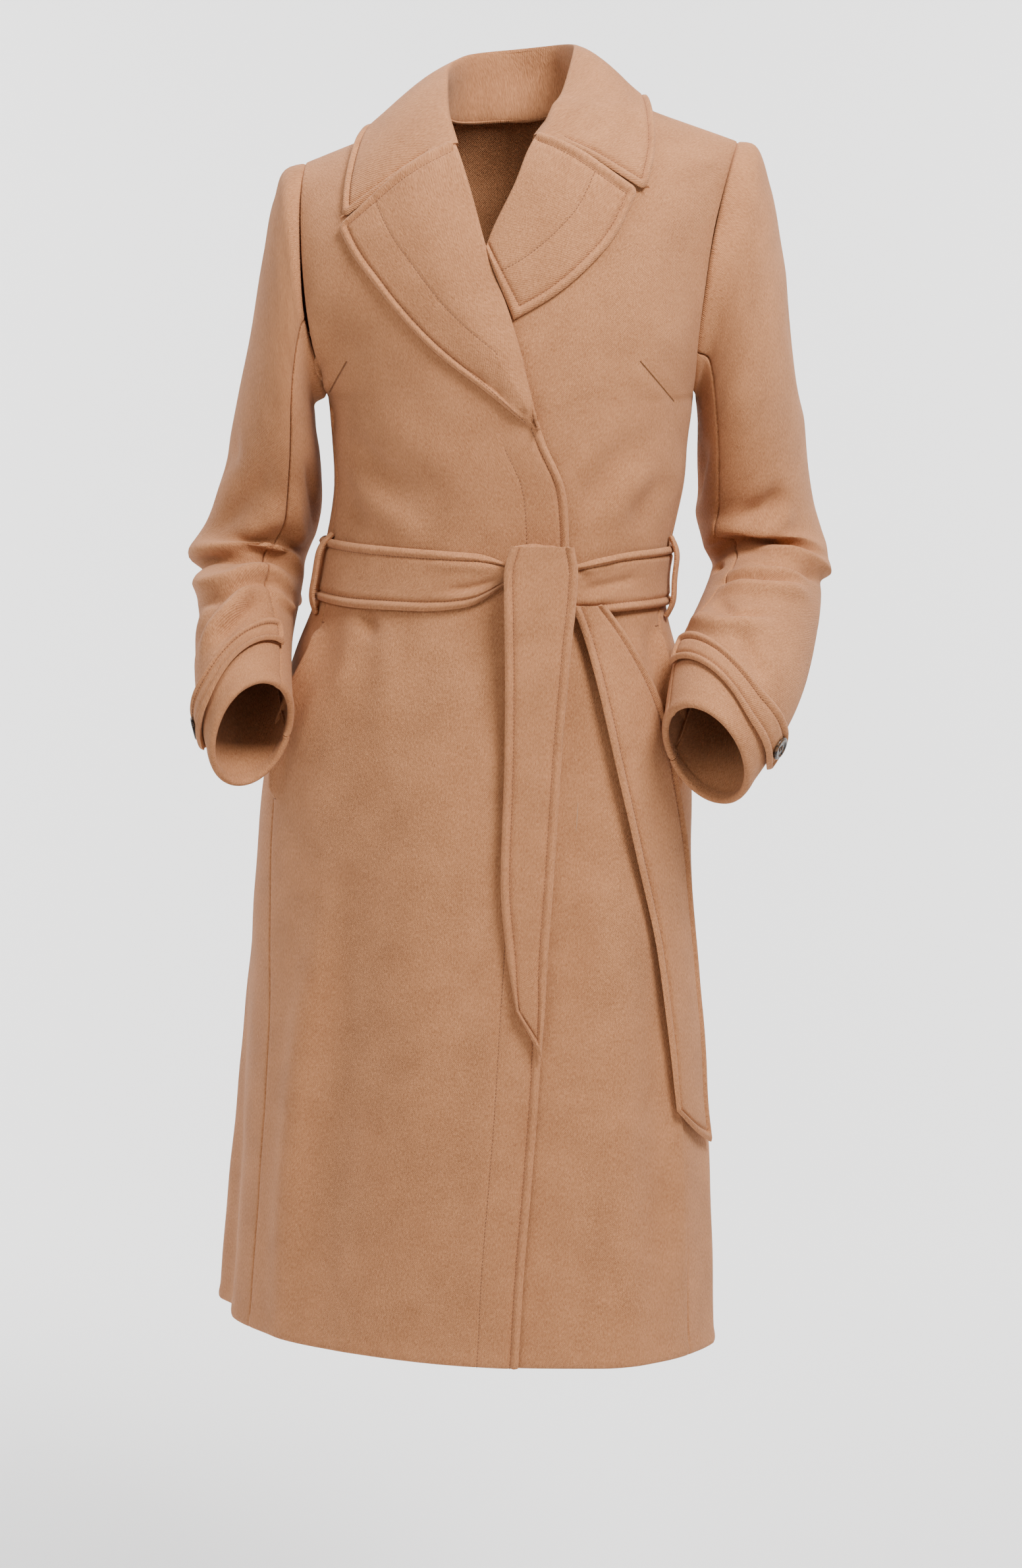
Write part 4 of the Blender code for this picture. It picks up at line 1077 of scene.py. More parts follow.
def buildFrontLeft():
    spec = frontLeft
    sheet = sheetOf("front_left", spec, toFront, (rimLines, seamLines, bottomRim, seamLines), True)
    easeArmhole(sheet)
    layWeave(sheet, sheet["left"])
    x, z = inPlane(sheet)
    stitched = smooth((spec["rimFrom"] - z) / spec["rimFade"])
    stitched *= 1.0 - spec["underShare"] * smooth((spec["underFrom"] - z) / spec["rimFade"])
    clear = smooth((x - spec["clearFrom"]) / spec["clearFade"])
    height = rimHeight(sheet["left"]) * stitched + seamHeight(sheet, ["left"]) * (1.0 - stitched)
    height += seamHeight(sheet, ["right", "top"]) + hemHeight(sheet)
    height += (foldHeight(x, z, spec["folds"], *body["gain"]) + unevenness(sheet, body["uneven"])) * clear
    height += dartHeight(sheet, spec["dart"]) + openMouth(sheet, "right")
    tuckSides(sheet, ["right"])
    surface = makeWool("camelWoolLeftFront", spec["dart"])
    piece = makeCloth("front_left", sheet, height, spec["wall"], surface, ["left"], body["hem"])
    lines = [lineOf(sheet, [(rimLine, 1), (rimLine, nearestTo(z[:, 0], spec["rimFrom"]))])]
    finishCloth("front_left", lines, bartackLines(sheet, "right"))


buildFrontRight()
buildFrontLeft()
print("fronts")

# Back

back = {
    "cells": (28, 28),
    "middle": (116, 190),
    "wall": 0.0024,
    "flat": (0.76, 1.12),
    "area": 0.62,
    "restsOn": ["front_right", "front_left"],
    "gain": (2.1, 1.9),
    "uneven": 0.0004,
    "centreSeam": {"depth": 0.0017, "reach": 0.0013},
    "centreSwell": (0.0006, 0.006, 0.004),      # high, from the seam, reach
    "behind": (0.02, 0.03),                     # the folds fade in from this depth, over this depth
    "folds": [
        ([(-0.140, -0.236), (-0.100, -0.272), (-0.060, -0.306), (-0.018, -0.336)], 0.015, -0.0042, 0.2),
        ([(0.134, -0.246), (0.096, -0.284), (0.062, -0.310), (0.026, -0.334)], 0.014, -0.0038, 0.2),
        ([(-0.120, -0.278), (-0.080, -0.318), (-0.040, -0.350)], 0.013, 0.0032, 0.0),
        ([(0.106, -0.290), (0.066, -0.330), (0.018, -0.352)], 0.012, 0.0030, 0.0),
        ([(-0.088, -0.412), (-0.092, -0.450), (-0.104, -0.520)], 0.011, -0.0044, 0.2),
        ([(-0.060, -0.412), (-0.062, -0.460), (-0.056, -0.560)], 0.013, 0.0030, 0.0),
        ([(0.066, -0.412), (0.074, -0.470), (0.088, -0.550)], 0.012, -0.0046, 0.2),
        ([(0.036, -0.414), (0.040, -0.480), (0.046, -0.600)], 0.015, 0.0030, 0.0),
        ([(-0.016, -0.414), (-0.018, -0.450), (-0.022, -0.500)], 0.009, -0.0030, 0.0),
        ([(-0.156, -0.100), (-0.150, -0.150), (-0.134, -0.212)], 0.013, -0.0032, 0.2),
        ([(0.164, -0.092), (0.156, -0.150), (0.138, -0.204)], 0.013, -0.0032, 0.2),
        ([(-0.120, -0.560), (-0.140, -0.760), (-0.160, -1.040)], 0.024, -0.0046, 0.0),
        ([(-0.060, -0.620), (-0.070, -0.820), (-0.080, -1.045)], 0.028, 0.0044, 0.0),
        ([(0.090, -0.600), (0.104, -0.800), (0.112, -1.045)], 0.024, -0.0042, 0.0),
        ([(0.040, -0.660), (0.048, -0.860), (0.052, -1.045)], 0.026, 0.0036, 0.0),
    ],
}


def buildBack():
    spec = back
    sheet = sheetOf("back", spec, toBack, (seamLines, seamLines, bottomRim, seamLines), True)
    easeArmhole(sheet)
    layWeave(sheet, (sheet["left"] - sheet["right"]) / 2.0)
    x, z = inPlane(sheet)
    centre = sheet["left"] - (sheet["left"] + sheet["right"]) / 2.0
    swell, swellAt, swellReach = spec["centreSwell"]
    height = seamHeight(sheet, ["left", "right", "top"]) + hemHeight(sheet)
    height += grooveHeight(centre, **spec["centreSeam"]) + swell * bell(np.abs(centre) - swellAt, swellReach)
    start, fade = spec["behind"]
    behind = smooth((sheet["base"][..., 1] - start) / fade)
    height += foldHeight(x, z, spec["folds"], *spec["gain"]) * behind + unevenness(sheet, spec["uneven"])
    sides = nearestRim(sheet, ["left", "right"])
    height -= mouth["backSunk"] * mouthShare(z) * fadeOut(sides, mouth["backReach"])
    tuckSides(sheet, ["left", "right"])
    piece = makeCloth("back", sheet, height, spec["wall"], hem=body["hem"])
    finishCloth("back")
    return sheet["base"][-1]


neckSeam = buildBack()
print("back")

# Lapels: turned over at the roll, with two rows of topstitching

lapelRight = {
    "outer": "left",
    "roll": "right",
    "middle": (44, 92),
    "flat": (0.125, 0.27),
    "area": 0.0185,
    "restsOn": ["front_right"],
    "rollRadius": 0.0036,
    "corner": 0.008,
    "sinkReach": 0.022,         # its lower end runs out into the front's edge
    "sink": 0.0040,
    "topRise": (0.0086, 0.0036, 0.0022),
}
lapelLeft = {
    "outer": "right",
    "roll": "left",
    "middle": (40, 66),
    "flat": (0.115, 0.19),
    "area": 0.0108,
    "restsOn": ["front_left"],
    "rollRadius": 0.0034,
    "corner": 0.007,
    "sinkReach": 0.0,
    "topRise": (0.0100, 0.0084, 0.0016),
}
lapelMake = {
    "cells": (7, 12),
    "wall": 0.0026,
    "facingLine": 0.040,
    "facingLines": (0.022, 0.0020),
    "facingRoom": (1.15, 0.01, 1.35),           # the facing's row shows where the lapel is wider than this
    "rollSteps": 9,
    "rollFade": 0.075,
    "rollLeast": 0.12,
    "riseReach": 0.030,
    "topLift": 0.0014,
    "topReach": 0.02,
    "belly": 0.0016,
    "bellyWidth": 0.06,
}


def wrapRoll(sheet, side, most, fading):
    # carries the cloth on round the roll to the inside
    base, normal, steps = sheet["base"], sheet["normal"], lapelMake["rollSteps"]
    last, inner = (-1, -2) if side == "right" else (0, 1)
    radius = most * np.ones((len(base), 1))
    if fading:                        # the roll runs out into the flat edge below
        least = lapelMake["rollLeast"]
        radius *= least + (1.0 - least) * smooth(sheet["bottom"][:, :1] / lapelMake["rollFade"])
    edge, out = base[:, last], normal[:, last]
    ahead = squareTo(edge - base[:, inner], out)
    turned = []
    for step in range(1, steps + 1):
        turn = math.pi * step / steps
        turned.append(edge - out * radius + out * radius * math.cos(turn) + ahead * radius * math.sin(turn))
    extra = np.pi * radius * np.arange(1, steps + 1)[None, :] / steps

    def join(old, new):
        return np.concatenate((old, new) if side == "right" else (new[:, ::-1], old), axis=1)

    def carry(key, step):
        return np.repeat(sheet[key][:, last][:, None], steps, axis=1) + step * extra
    wrapped = {"base": join(base, np.stack(turned, axis=1))}
    for key in ("bottom", "top", "left", "right"):
        wrapped[key] = join(sheet[key], carry(key, 1.0 if key in ("left", "right") and key != side else 0.0))
    wrapped["run"] = join(sheet["left"], carry("left", 1.0 if side == "right" else -1.0))
    wrapped["normal"] = gridNormals(wrapped["base"])
    wrapped["onRoll"] = join(np.zeros(sheet["left"].shape), np.ones((len(base), steps)))
    return wrapped


def raiseTop(sheet, outer, atRoll, atTip, middle):
    # the top edge goes up to meet the collar
    up = unit(np.gradient(sheet["base"], axis=0))
    share = np.clip(sheet[outer] / np.maximum(sheet["left"] + sheet["right"], 1e-6), 0.0, 1.0)
    rise = atTip + (atRoll - atTip) * share + 4.0 * middle * share * (1.0 - share)
    moveBase(sheet, up * (rise * fadeOut(sheet["top"], lapelMake["riseReach"]))[..., None])


def buildLapel(node, spec):
    make, outer, runsOut = lapelMake, spec["outer"], spec["sinkReach"] > 0.0
    near = make["facingLine"]
    outerLines = rimLines + linesRound(near, *make["facingLines"])
    edges = (outerLines, seamLines) if outer == "left" else (seamLines, outerLines)
    edges += (bottomRim if runsOut else rimLines, rimLines)
    sheet = sheetOf(node, {**spec, "cells": make["cells"]}, toFront, edges, True)
    raiseTop(sheet, outer, *spec["topRise"])
    roundCorner(sheet, outer, "top", spec["corner"])
    sheet = wrapRoll(sheet, spec["roll"], spec["rollRadius"], runsOut)
    flatPart = 1.0 - sheet["onRoll"]
    width = sheet["left"] + sheet["right"]
    narrowest, fade, stitchedFrom = make["facingRoom"]
    sides = [outer, "top"] if runsOut else [outer, "top", "bottom"]
    height = rimHeight(nearestRim(sheet, sides)) + make["topLift"] * fadeOut(sheet["top"], make["topReach"])
    height += grooveHeight(sheet[outer] - near, **stitchGroove) * smooth((width - near * narrowest) / fade)
    height *= flatPart
    across = np.clip(sheet[outer] / np.maximum(width, 0.001), 0.0, 1.0)
    height += make["belly"] * np.sin(np.pi * across) * smooth(width / make["bellyWidth"])
    if runsOut:
        tuckEdge(sheet, "bottom")
        height -= spec["sink"] * fadeOut(sheet["bottom"], spec["sinkReach"]) * flatPart
    piece = makeCloth(node, sheet, height, make["wall"], edgeSides=[outer, "top"])
    rows, columns = sheet["base"].shape[:2]

    def fromOuter(steps):
        return steps if outer == "left" else columns - 1 - steps
    column, facing = fromOuter(rimLine), fromOuter(outerLines.index(near))
    rollColumn = fromOuter(columns - 1 - make["rollSteps"] - 2)
    topRow = rows - 1 - rimLine
    first = 4 if runsOut else rimLine
    facingRow = max(int(np.argmax(width[:, 0] > near * stitchedFrom)), first)
    lines = [lineOf(sheet, [(column, first), (column, topRow), (rollColumn, topRow)]),
             lineOf(sheet, [(facing, facingRow), (facing, topRow)])]
    if not runsOut:
        lines.append(lineOf(sheet, [(rollColumn, rimLine), (column, rimLine)]))
    finishCloth(node, lines)


buildLapel("lapel_right", lapelRight)
buildLapel("lapel_left", lapelLeft)
print("lapels")

# Collar: stand, roll and leaf in one

collar = {
    "cells": (26, 9),
    "middle": (150, 40),
    "wall": 0.0026,
    "flat": (0.60, 0.115),
    "area": 0.061,
    "restsOn": ["back", "front_right", "front_left"],
    "uneven": 0.0004,
    "corner": 0.009,
    "endReach": {"right": 0.0060, "left": 0.0068},      # its ends come down towards the lapels
    "endFade": 0.045,
    "endFrom": 0.46,                                    # share of the way up the stand and over the leaf
    "leaf": (0.42, 0.1),                                # share where the leaf starts, and its fade
    "stitchedFrom": 0.45,
    "endSink": 0.0016,
    "endSinkReach": 0.03,
    "standTuck": {"reach": 0.0016, "depth": 0.0012},
    "seat": {"upTo": 0.050, "fade": 0.016, "height": 0.020, "sink": 0.0008, "rounds": 6},
}


def seatStand(sheet, rim, upTo, fade, height, sink, rounds):
    # the stand's lower edge comes down onto the back's neck seam
    lowest = sheet["base"][0]
    apart = rim[None] - lowest[:, None]
    nearest = np.linalg.norm(apart, axis=2).argmin(axis=1)
    move = apart[np.arange(len(nearest)), nearest]
    move[:, 2] -= sink
    evenOut(move, rounds)
    seated = fadeOut(np.abs(lowest[:, 0]) - upTo, fade) * (lowest[:, 1] > 0.0)
    share = fadeOut(sheet["bottom"], height) * seated[None, :]
    moveBase(sheet, move[None] * share[..., None])


def buildCollar():
    spec = collar
    sheet = sheetOf("collar", spec, toTop, (rimLines, rimLines, seamLines, rimLines), upward=(0, 0, -1))
    upShare = sheet["share"][..., 1]
    for side, edge, sign in (("left", 0, -1.0), ("right", -1, 1.0)):
        reach = spec["endReach"]["left" if sheet["base"][-1, edge, 0] > 0.0 else "right"]
        across = unit(np.gradient(sheet["base"], axis=1))
        share = fadeOut(sheet[side], spec["endFade"])
        share *= smooth((upShare - spec["endFrom"]) / (1.0 - spec["endFrom"]))
        moveBase(sheet, sign * reach * across * share[..., None])
        roundCorner(sheet, side, "top", spec["corner"])
    seatStand(sheet, neckSeam, **spec["seat"])
    leafFrom, leafFade = spec["leaf"]
    leaf = smooth((upShare - leafFrom) / leafFade)
    height = rimHeight(nearestRim(sheet, ["left", "right", "top"])) * leaf + seamHeight(sheet, ["bottom"])
    height += unevenness(sheet, spec["uneven"])
    height -= spec["endSink"] * leaf * fadeOut(nearestRim(sheet, ["left", "right"]), spec["endSinkReach"])
    tuckEdge(sheet, "bottom", **spec["standTuck"])
    piece = makeCloth("collar", sheet, height, spec["wall"], edgeSides=["left", "right", "top"])
    rows, columns = sheet["base"].shape[:2]
    first = nearestTo(upShare[:, 0], spec["stitchedFrom"])
    right, top = columns - 1 - rimLine, rows - 1 - rimLine
    lines = [lineOf(sheet, [(rimLine, first), (rimLine, top), (right, top), (right, first)])]
    finishCloth("collar", lines)


buildCollar()
print("collar")

# Sleeves: upper and under sleeve share their folds, which run across the seams

sleeveRight = {
    "side": "right",
    "frontSeam": ([0.0, 0.60, 0.70, 0.78, 0.86, 1.0], [110.0, 110.0, 121.0, 141.0, 163.0, 173.0]),
    "strapTop": ([0.0, 80.0, 113.0, 170.0], [0.440, 0.430, 0.410, 0.377]),
    "folds": [          # (degrees round the sleeve, metres down it)
        ([(-36, 0.272), (-8, 0.262), (12, 0.257), (51, 0.255), (78, 0.254), (114, 0.249), (138, 0.265),
          (168, 0.277), (200, 0.283)], 0.011, 0.0072, 0.35),
        ([(6, 0.272), (30, 0.268), (60, 0.269), (93, 0.274), (114, 0.270), (138, 0.283), (170, 0.293)],
         0.0062, -0.0066, 0.0),
        ([(-8, 0.292), (21, 0.294), (54, 0.311), (81, 0.316), (108, 0.303), (120, 0.301), (144, 0.307),
          (182, 0.306)], 0.012, 0.0062, 0.3),
        ([(16, 0.314), (50, 0.330), (82, 0.335), (108, 0.321), (126, 0.317), (150, 0.322)], 0.0065, -0.0056, 0.0),
        ([(128, 0.318), (150, 0.333), (186, 0.330)], 0.006, 0.0032, 0.2),
        ([(128, 0.316), (111, 0.326), (96, 0.357), (69, 0.381), (44, 0.392)], 0.011, 0.0048, -0.2),
        ([(136, 0.336), (120, 0.352), (101, 0.377), (78, 0.401)], 0.009, -0.0038, 0.0),
        ([(86, 0.336), (62, 0.352), (30, 0.362), (0, 0.360)], 0.010, -0.0034, 0.0),
        ([(44, 0.148), (30, 0.163), (0, 0.185), (-14, 0.200)], 0.012, -0.0034, 0.0),
        ([(104, 0.146), (87, 0.161), (51, 0.206), (30, 0.238)], 0.014, -0.0042, 0.0),
        ([(116, 0.176), (92, 0.204), (66, 0.234)], 0.012, 0.0030, 0.0),
        ([(117, 0.150), (123, 0.188), (146, 0.245)], 0.010, 0.0034, 0.0),
        ([(134, 0.110), (150, 0.160), (172, 0.230)], 0.011, -0.0034, 0.0),
        ([(-108, 0.262), (-74, 0.258), (-40, 0.268)], 0.011, 0.0054, 0.3),
        ([(-104, 0.278), (-72, 0.275), (-42, 0.284)], 0.007, -0.0054, 0.0),
        ([(206, 0.300), (228, 0.290), (262, 0.296)], 0.010, 0.0046, 0.2),
        ([(-96, 0.318), (-62, 0.306), (-26, 0.304)], 0.010, 0.0046, 0.2),
        ([(-70, 0.120), (-46, 0.160), (-34, 0.205)], 0.014, -0.0036, 0.0),
        ([(206, 0.060), (214, 0.110), (232, 0.170)], 0.013, -0.0036, 0.0),
    ],
    "upper": {"flat": (0.29, 0.60), "area": 0.122, "restsOn": ["front_right", "back"]},
    "under": {"flat": (0.13, 0.47), "area": 0.038, "restsOn": ["front_right", "back"]},
}
sleeveLeft = {
    "side": "left",
    "frontSeam": ([0.0, 0.60, 0.70, 0.78, 0.86, 1.0], [131.0, 131.0, 139.0, 157.0, 173.0, 180.0]),
    "strapTop": ([0.0, 80.0, 113.0, 170.0], [0.479, 0.468, 0.450, 0.414]),
    "folds": [
        ([(204, 0.268), (177, 0.247), (144, 0.229), (126, 0.213), (102, 0.214), (81, 0.224), (63, 0.234),
          (39, 0.243), (8, 0.247)], 0.011, 0.0070, -0.35),
        ([(176, 0.264), (140, 0.243), (115, 0.229), (82, 0.236), (54, 0.249), (22, 0.258)], 0.0060, -0.0064, 0.0),
        ([(120, 0.238), (106, 0.247), (90, 0.257), (66, 0.267), (36, 0.272), (4, 0.272), (-30, 0.266)],
         0.012, 0.0062, -0.3),
        ([(116, 0.270), (98, 0.284), (70, 0.294), (38, 0.290), (8, 0.290)], 0.0068, -0.0064, 0.0),
        ([(148, 0.298), (120, 0.306), (92, 0.308), (70, 0.306), (40, 0.306)], 0.009, 0.0044, 0.0),
        ([(156, 0.312), (120, 0.321), (93, 0.323), (76, 0.318), (52, 0.316)], 0.0055, -0.0056, 0.0),
        ([(150, 0.330), (118, 0.338), (90, 0.340), (66, 0.332), (36, 0.324)], 0.011, 0.0050, -0.2),
        ([(142, 0.343), (128, 0.366), (112, 0.384), (92, 0.378), (74, 0.364)], 0.0065, -0.0052, 0.0),
        ([(170, 0.366), (144, 0.388), (120, 0.402), (96, 0.398), (70, 0.382)], 0.010, 0.0046, -0.2),
        ([(104, 0.404), (90, 0.430), (70, 0.448)], 0.008, -0.0034, 0.0),
        ([(160, 0.266), (152, 0.286)], 0.008, -0.0046, 0.0),
        ([(56, 0.176), (72, 0.187), (99, 0.197), (114, 0.202)], 0.012, -0.0042, 0.0),
        ([(50, 0.196), (78, 0.208), (106, 0.216)], 0.010, 0.0030, 0.0),
        ([(150, 0.090), (166, 0.140), (186, 0.200)], 0.012, -0.0034, 0.0),
        ([(20, 0.070), (6, 0.110), (2, 0.150)], 0.016, -0.0034, 0.0),
        ([(-112, 0.252), (-80, 0.262), (-44, 0.258)], 0.011, 0.0054, -0.3),
        ([(-110, 0.272), (-78, 0.280), (-44, 0.276)], 0.007, -0.0054, 0.0),
        ([(-100, 0.308), (-66, 0.302), (-24, 0.312)], 0.011, 0.0048, 0.0),
        ([(-92, 0.326), (-60, 0.322), (-30, 0.330)], 0.007, -0.0044, 0.0),
        ([(208, 0.292), (232, 0.300), (254, 0.292)], 0.010, 0.0046, 0.0),
        ([(-66, 0.110), (-48, 0.160), (-30, 0.200)], 0.014, -0.0036, 0.0),
        ([(212, 0.060), (222, 0.120), (236, 0.180)], 0.013, -0.0036, 0.0),
    ],
    "upper": {"flat": (0.32, 0.62), "area": 0.146, "restsOn": ["front_left", "back"]},
    "under": {"flat": (0.14, 0.48), "area": 0.043, "restsOn": ["front_left", "back"]},
}
sleeveMake = {
    "upper": {"cells": (12, 20), "middle": (66, 168)},
    "under": {"cells": (7, 20), "middle": (34, 168)},
    "backSeam": 242.0,          # degrees round the sleeve
    "wall": 0.0024,
    "hem": 0.0030,
    "armRadius": 0.060,         # what a degree round the sleeve is measured on
    "gain": (1.95, 1.75),
    "uneven": 0.0004,
    "foldsFrom": 0.06,          # the folds fade in down from the shoulder, and out above the strap
    "strapRoom": 0.006,
    "strapFade": 0.028,
    "topTuck": {"reach": 0.0018, "depth": 0.0022},
}


def buildSleeve(spec):
    make, side = sleeveMake, spec["side"]
    outward = (-1, 0, 0) if side == "right" else (1, 0, 0)
    facing = {"upper": outward, "under": tuple(-value for value in outward)}
    grids = {part: readGrid("sleeve_" + side + "_" + part, make[part]["cells"], facing[part], toTop)
             for part in ("upper", "under")}
    middle = np.concatenate((grids["upper"], grids["under"]), axis=1).mean(axis=1)
    fromCuff = runOf(np.linalg.norm(np.diff(middle, axis=0), axis=1))
    levels = np.linspace(0.0, 1.0, len(fromCuff))
    radius = math.radians(1.0) * make["armRadius"]
    folds = [([(turn * radius, reach) for turn, reach in path], *rest) for path, *rest in spec["folds"]]
    for part, grid in grids.items():
        node = "sleeve_" + side + "_" + part
        sheet = openSheet(grid, True, (seamLines, seamLines, bottomRim, seamLines), make[part]["middle"])
        acrossShare, upShare = sheet["share"][..., 0], sheet["share"][..., 1]
        front = np.interp(1.0 - upShare, *spec["frontSeam"])
        start, end = (make["backSeam"] - 360.0, front) if part == "upper" else (front, make["backSeam"])
        turn = start + (end - start) * (acrossShare if side == "right" else 1.0 - acrossShare)
        reach = fromCuff[-1] - np.interp(upShare, levels, fromCuff)
        height = np.zeros(turn.shape)
        for turned in (-360.0, 0.0, 360.0):          # folds may run over the back seam
            height += foldHeight((turn + turned) * radius, reach, folds, *make["gain"])
        above = np.interp(turn, *spec["strapTop"]) - reach
        height *= smooth(reach / make["foldsFrom"]) * smooth((above + make["strapRoom"]) / make["strapFade"])
        height += seamHeight(sheet, ["left", "right", "top"]) + hemHeight(sheet)
        height += unevenness(sheet, make["uneven"])
        for edge in ("left", "right"):
            tuckEdge(sheet, edge)
        tuckEdge(sheet, "top", **make["topTuck"])
        piece = makeCloth(node, sheet, height, make["wall"], hem=make["hem"])
        finishCloth(node)


buildSleeve(sleeveRight)
buildSleeve(sleeveLeft)
print("sleeves")

# Cuff straps and their buttons

allSides = ["left", "right", "top", "bottom"]
strap = {
    "cells": (14, 4),
    "middle": (104, 8),
    "wall": 0.0040,
    "lift": 0.0012,
    "flat": (0.19, 0.033),
    "area": 0.0056,
}
button = {
    "radius": 0.0100,
    "thick": 0.0034,
    "sides": 40,
    "profile": [(0.0, -0.5), (0.80, -0.5), (0.96, -0.30), (1.0, 0.0), (0.97, 0.28), (0.88, 0.46), (0.78, 0.50),
                (0.70, 0.44), (0.62, 0.26), (0.52, 0.20), (0.0, 0.20)],     # shares of radius and thickness
    "holeRadius": 0.00115,
    "holeAt": 0.0024,
    "holeSides": 16,
    "threadAt": 0.22,
    "sharpDegrees": 40.0,
}


def buildStrap(side):
    node = "cuff_strap_" + side
    facing = (-1, -0.3, 0) if side == "right" else (1, -0.3, 0)
    sheet = sheetOf(node, strap, facing, (rimLines,) * 4, upward=(0, -0.5, 1))
    height = rimHeight(nearestRim(sheet, allSides)) + strap["lift"]
    piece = makeCloth(node, sheet, height, strap["wall"], edgeSides=allSides)
    rows, columns = sheet["base"].shape[:2]
    low, right, top = rimLine, columns - 1 - rimLine, rows - 1 - rimLine
    lines = [lineOf(sheet, [(low, low), (right, low), (right, top), (low, top), (low, low)])]
    finishCloth(node, lines)


def drilled(piece, holes):
    # four round holes through the turned disc
    thick = button["thick"]
    drill = bmesh.new()
    for x, y in holes:
        bmesh.ops.create_cone(drill, cap_ends=True, segments=button["holeSides"],
                              radius1=button["holeRadius"], radius2=button["holeRadius"],
                              depth=4.0 * thick, matrix=Matrix.Translation((x, y, 0.0)))
    cutter = addObject("drill", meshFrom(drill, "drill"))
    cut = piece.modifiers.new("holes", "BOOLEAN")
    cut.object = cutter
    cut.solver = "EXACT"
    finished = bpy.data.meshes.new_from_object(piece.evaluated_get(bpy.context.evaluated_depsgraph_get()))
    piece.modifiers.clear()
    bpy.data.objects.remove(cutter)
    return finished


def buildButton(side):
    node = "cuff_button_" + side
    points = np.array([vert.co[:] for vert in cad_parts[node].data.vertices])
    centre = points.mean(axis=0)
    axis = np.linalg.svd(points - centre)[2][2]
    if axis[0] * (-1 if side == "right" else 1) < 0.0:
        axis = -axis
    radius, thick = button["radius"], button["thick"]
    bm = bmesh.new()
    verts = [bm.verts.new((x * radius, 0.0, z * thick)) for x, z in button["profile"]]
    edges = [bm.edges.new(pair) for pair in zip(verts, verts[1:])]
    bmesh.ops.spin(bm, geom=verts + edges, cent=(0, 0, 0), axis=(0, 0, 1), angle=2.0 * math.pi,
                   steps=button["sides"], use_merge=True)
    bmesh.ops.remove_doubles(bm, verts=bm.verts, dist=mergeDistance)
    bmesh.ops.recalc_face_normals(bm, faces=bm.faces)
    piece = addObject(node + "_horn", meshFrom(bm, node + "_horn"))
    turns = [math.radians(45.0 + 90.0 * quarter) for quarter in range(4)]
    holes = [(button["holeAt"] * math.cos(turn), button["holeAt"] * math.sin(turn)) for turn in turns]
    piece.data = drilled(piece, holes)
    turned = Vector(toTop).rotation_difference(Vector(axis)).to_matrix().to_4x4()
    seat = Matrix.Translation(Vector(centre)) @ turned
    piece.data.transform(seat)
    piece.data.shade_smooth()
    piece.data.set_sharp_from_angle(angle=math.radians(button["sharpDegrees"]))
    piece.data.materials.append(horn)
    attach(piece, "root")
    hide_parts(node)
    ends = [np.array((seat @ Vector((x, y, button["threadAt"] * thick)))[:]) for x, y in holes]
    lines = [(np.array([ends[first], ends[last]]), np.array([axis, axis])) for first, last in ((0, 1), (3, 2))]
    makeStitches(node + "_thread", lines, buttonThread)


for wearerSide in ("right", "left"):
    buildStrap(wearerSide)
    buildButton(wearerSide)
print("cuff straps and buttons")

# Belt

belt = {
    "band": {"cells": (40, 2), "middle": (240, 16), "wall": 0.0026, "flat": (0.84, 0.053), "area": 0.042,
             "restsOn": ["back", "front_right", "front_left"],
             "folds": [          # drawn together towards the knot
                 ([(-0.064, -0.360), (-0.030, -0.364), (-0.004, -0.372)], 0.0028, -0.0024, 0.0),
                 ([(-0.078, -0.372), (-0.036, -0.374), (-0.002, -0.378)], 0.0050, 0.0018, 0.0),
                 ([(-0.058, -0.396), (-0.030, -0.391), (-0.004, -0.383)], 0.0034, -0.0030, 0.0),
                 ([(-0.070, -0.402), (-0.036, -0.398), (-0.006, -0.391)], 0.0040, 0.0020, 0.0),
                 ([(0.050, -0.374), (0.062, -0.384), (0.058, -0.392)], 0.0030, -0.0030, 0.0),
                 ([(0.050, -0.394), (0.076, -0.391), (0.112, -0.384)], 0.0044, -0.0026, 0.0),
                 ([(0.054, -0.380), (0.074, -0.372), (0.094, -0.366)], 0.0044, 0.0020, 0.0),
                 ([(0.050, -0.402), (0.070, -0.402), (0.092, -0.398)], 0.0034, 0.0016, 0.0)]},
    "tail_over": {"cells": (3, 18), "middle": (10, 120), "wall": 0.0026, "flat": (0.053, 0.46), "area": 0.0205,
                  "restsOn": ["front_right"]},
    "tail_under": {"cells": (3, 18), "middle": (10, 130), "wall": 0.0026, "flat": (0.053, 0.52), "area": 0.026,
                   "restsOn": ["front_left"]},
    "loop": {"cells": (2, 10), "middle": (3, 40), "wall": 0.0032, "flat": (0.011, 0.09), "area": 0.00085,
             "evened": 40, "crown": 0.0014},
    "knot": {"cells": (72, 30), "wall": 0.0026, "flat": (0.053, 0.14), "area": 0.0055,
             "restsOn": ["front_right"], "inside": 0.0010,
             "folds": ((0.0006, 2.4, 3.0), (0.0003, 1.5, 9.0)),     # high, waves round and across it
             "narrowing": (0.16, 0.10)},
    "uneven": {"band": 0.0003, "tail": 0.0004},
}


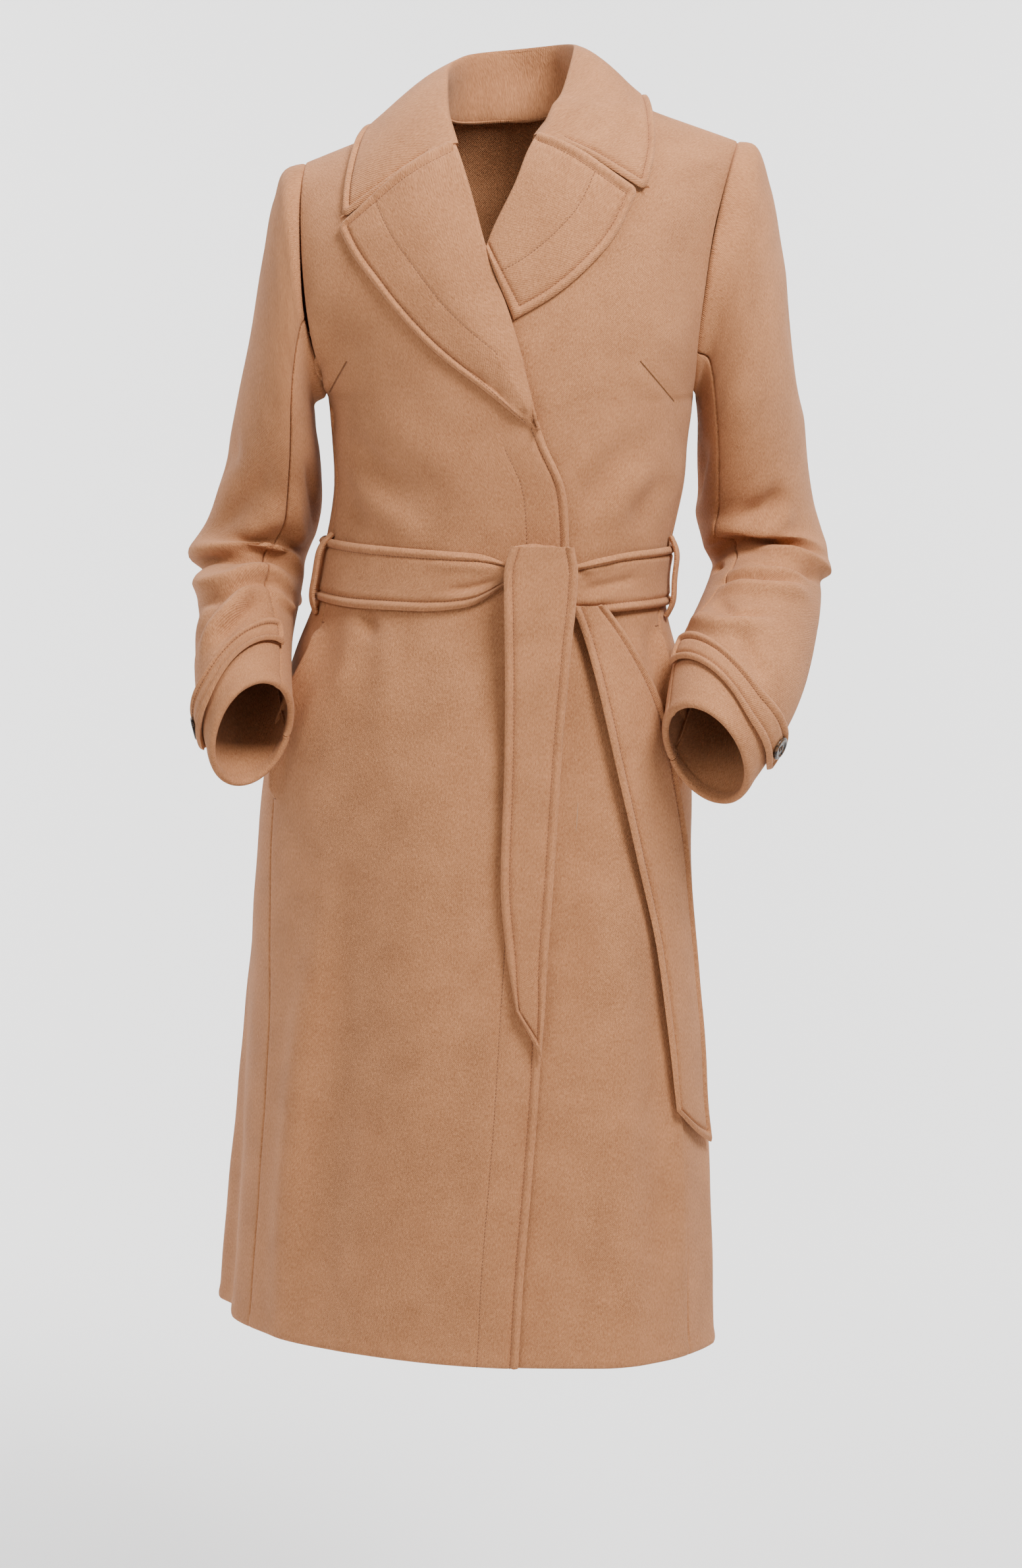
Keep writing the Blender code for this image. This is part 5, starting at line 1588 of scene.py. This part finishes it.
def buildBand():
    spec = belt["band"]
    sheet = sheetOf("belt_band", spec, None, (seamLines, seamLines, rimLines, rimLines))
    x, z = inPlane(sheet)
    before = smooth(-sheet["base"][..., 1] / 0.03)
    height = rimHeight(nearestRim(sheet, ["bottom", "top"])) + unevenness(sheet, belt["uneven"]["band"])
    height += foldHeight(x, z, spec["folds"]) * before
    piece = makeCloth("belt_band", sheet, height, spec["wall"], edgeSides=["bottom", "top"])
    rows, columns = sheet["base"].shape[:2]
    lines = [lineOf(sheet, [(1, row), (columns - 2, row)]) for row in (rimLine, rows - 1 - rimLine)]
    finishCloth("belt_band", lines)


def buildTail(name):
    node, spec, sides = "belt_" + name, belt[name], ["left", "right", "bottom"]
    sheet = sheetOf(node, spec, toFront, (rimLines, rimLines, rimLines, seamLines))
    height = rimHeight(nearestRim(sheet, sides)) + unevenness(sheet, belt["uneven"]["tail"])
    piece = makeCloth(node, sheet, height, spec["wall"], edgeSides=sides)
    rows, columns = sheet["base"].shape[:2]
    right, top = columns - 1 - rimLine, rows - 2
    lines = [lineOf(sheet, [(rimLine, top), (rimLine, rimLine), (right, rimLine), (right, top)])]
    finishCloth(node, lines)


def buildLoop(side):
    node, spec = "belt_loop_" + side, belt["loop"]
    sheet = sheetOf(node, spec, (-1, 0, 0) if side == "right" else (1, 0, 0), (loopRim,) * 4)
    evenOut(sheet["base"], spec["evened"])
    sheet["normal"] = gridNormals(sheet["base"])
    width = sheet["left"] + sheet["right"]
    height = spec["crown"] * np.sin(np.pi * sheet["left"] / width) - spec["crown"] / 2.0
    piece = makeCloth(node, sheet, height, spec["wall"], edgeSides=["left", "right"])
    finishCloth(node)


def buildKnot():
    # the belt's turn round itself: a soft band with slanting folds, open at both sides
    spec = belt["knot"]
    low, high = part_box("belt_knot")
    centre, half = (low + high) / 2.0, (high - low) / 2.0
    early, late = spec["narrowing"]
    bm = bmesh.new()
    bmesh.ops.create_grid(bm, x_segments=spec["cells"][0], y_segments=spec["cells"][1], size=0.5)
    for vert in bm.verts:
        turn, across = 2.0 * math.pi * (vert.co.x + 0.5), 2.0 * vert.co.y
        fold = sum(rise * math.sin(turns * turn + over * across) for rise, turns, over in spec["folds"])
        squeeze = 1.0 - early * across ** 2 - late * abs(across) ** 6
        out = fold - spec["inside"]
        vert.co = Vector((centre.x + half.x * across,
                          centre.y - (half.y * squeeze + out) * math.cos(turn),
                          centre.z + (half.z * squeeze + out) * math.sin(turn)))
    weave = bm.loops.layers.uv.new("weave")
    for face in bm.faces:
        for loop in face.loops:
            loop[weave].uv = (loop.vert.co.x, loop.vert.co.z)
    bmesh.ops.remove_doubles(bm, verts=bm.verts, dist=mergeDistance)
    bmesh.ops.recalc_face_normals(bm, faces=bm.faces)
    mesh = meshFrom(bm, "belt_knot_cloth")
    mesh.shade_smooth()
    mesh.materials.append(wool)
    piece = addObject("belt_knot_cloth", mesh)
    addWall(piece, spec["wall"])
    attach(piece, "root")
    finishCloth("belt_knot")


buildBand()
for tailName in ("tail_over", "tail_under"):
    buildTail(tailName)
for wearerSide in ("right", "left"):
    buildLoop(wearerSide)
buildKnot()
print("belt")

# Pocket bags

bag = {
    "cells": (6, 6),
    "middle": (16, 24),
    "wall": 0.0009,
    "uneven": 0.0004,
    "flat": (0.092, 0.265),
    "area": 0.0235,
}


def buildBag(side):
    node = "pocket_bag_" + side
    sheet = sheetOf(node, bag, (-1, -1, 0) if side == "right" else (1, -1, 0), (seamLines,) * 4)
    piece = makeCloth(node, sheet, unevenness(sheet, bag["uneven"]), bag["wall"], bagCotton)
    finishCloth(node)


for wearerSide in ("right", "left"):
    buildBag(wearerSide)
print("pocket bags")
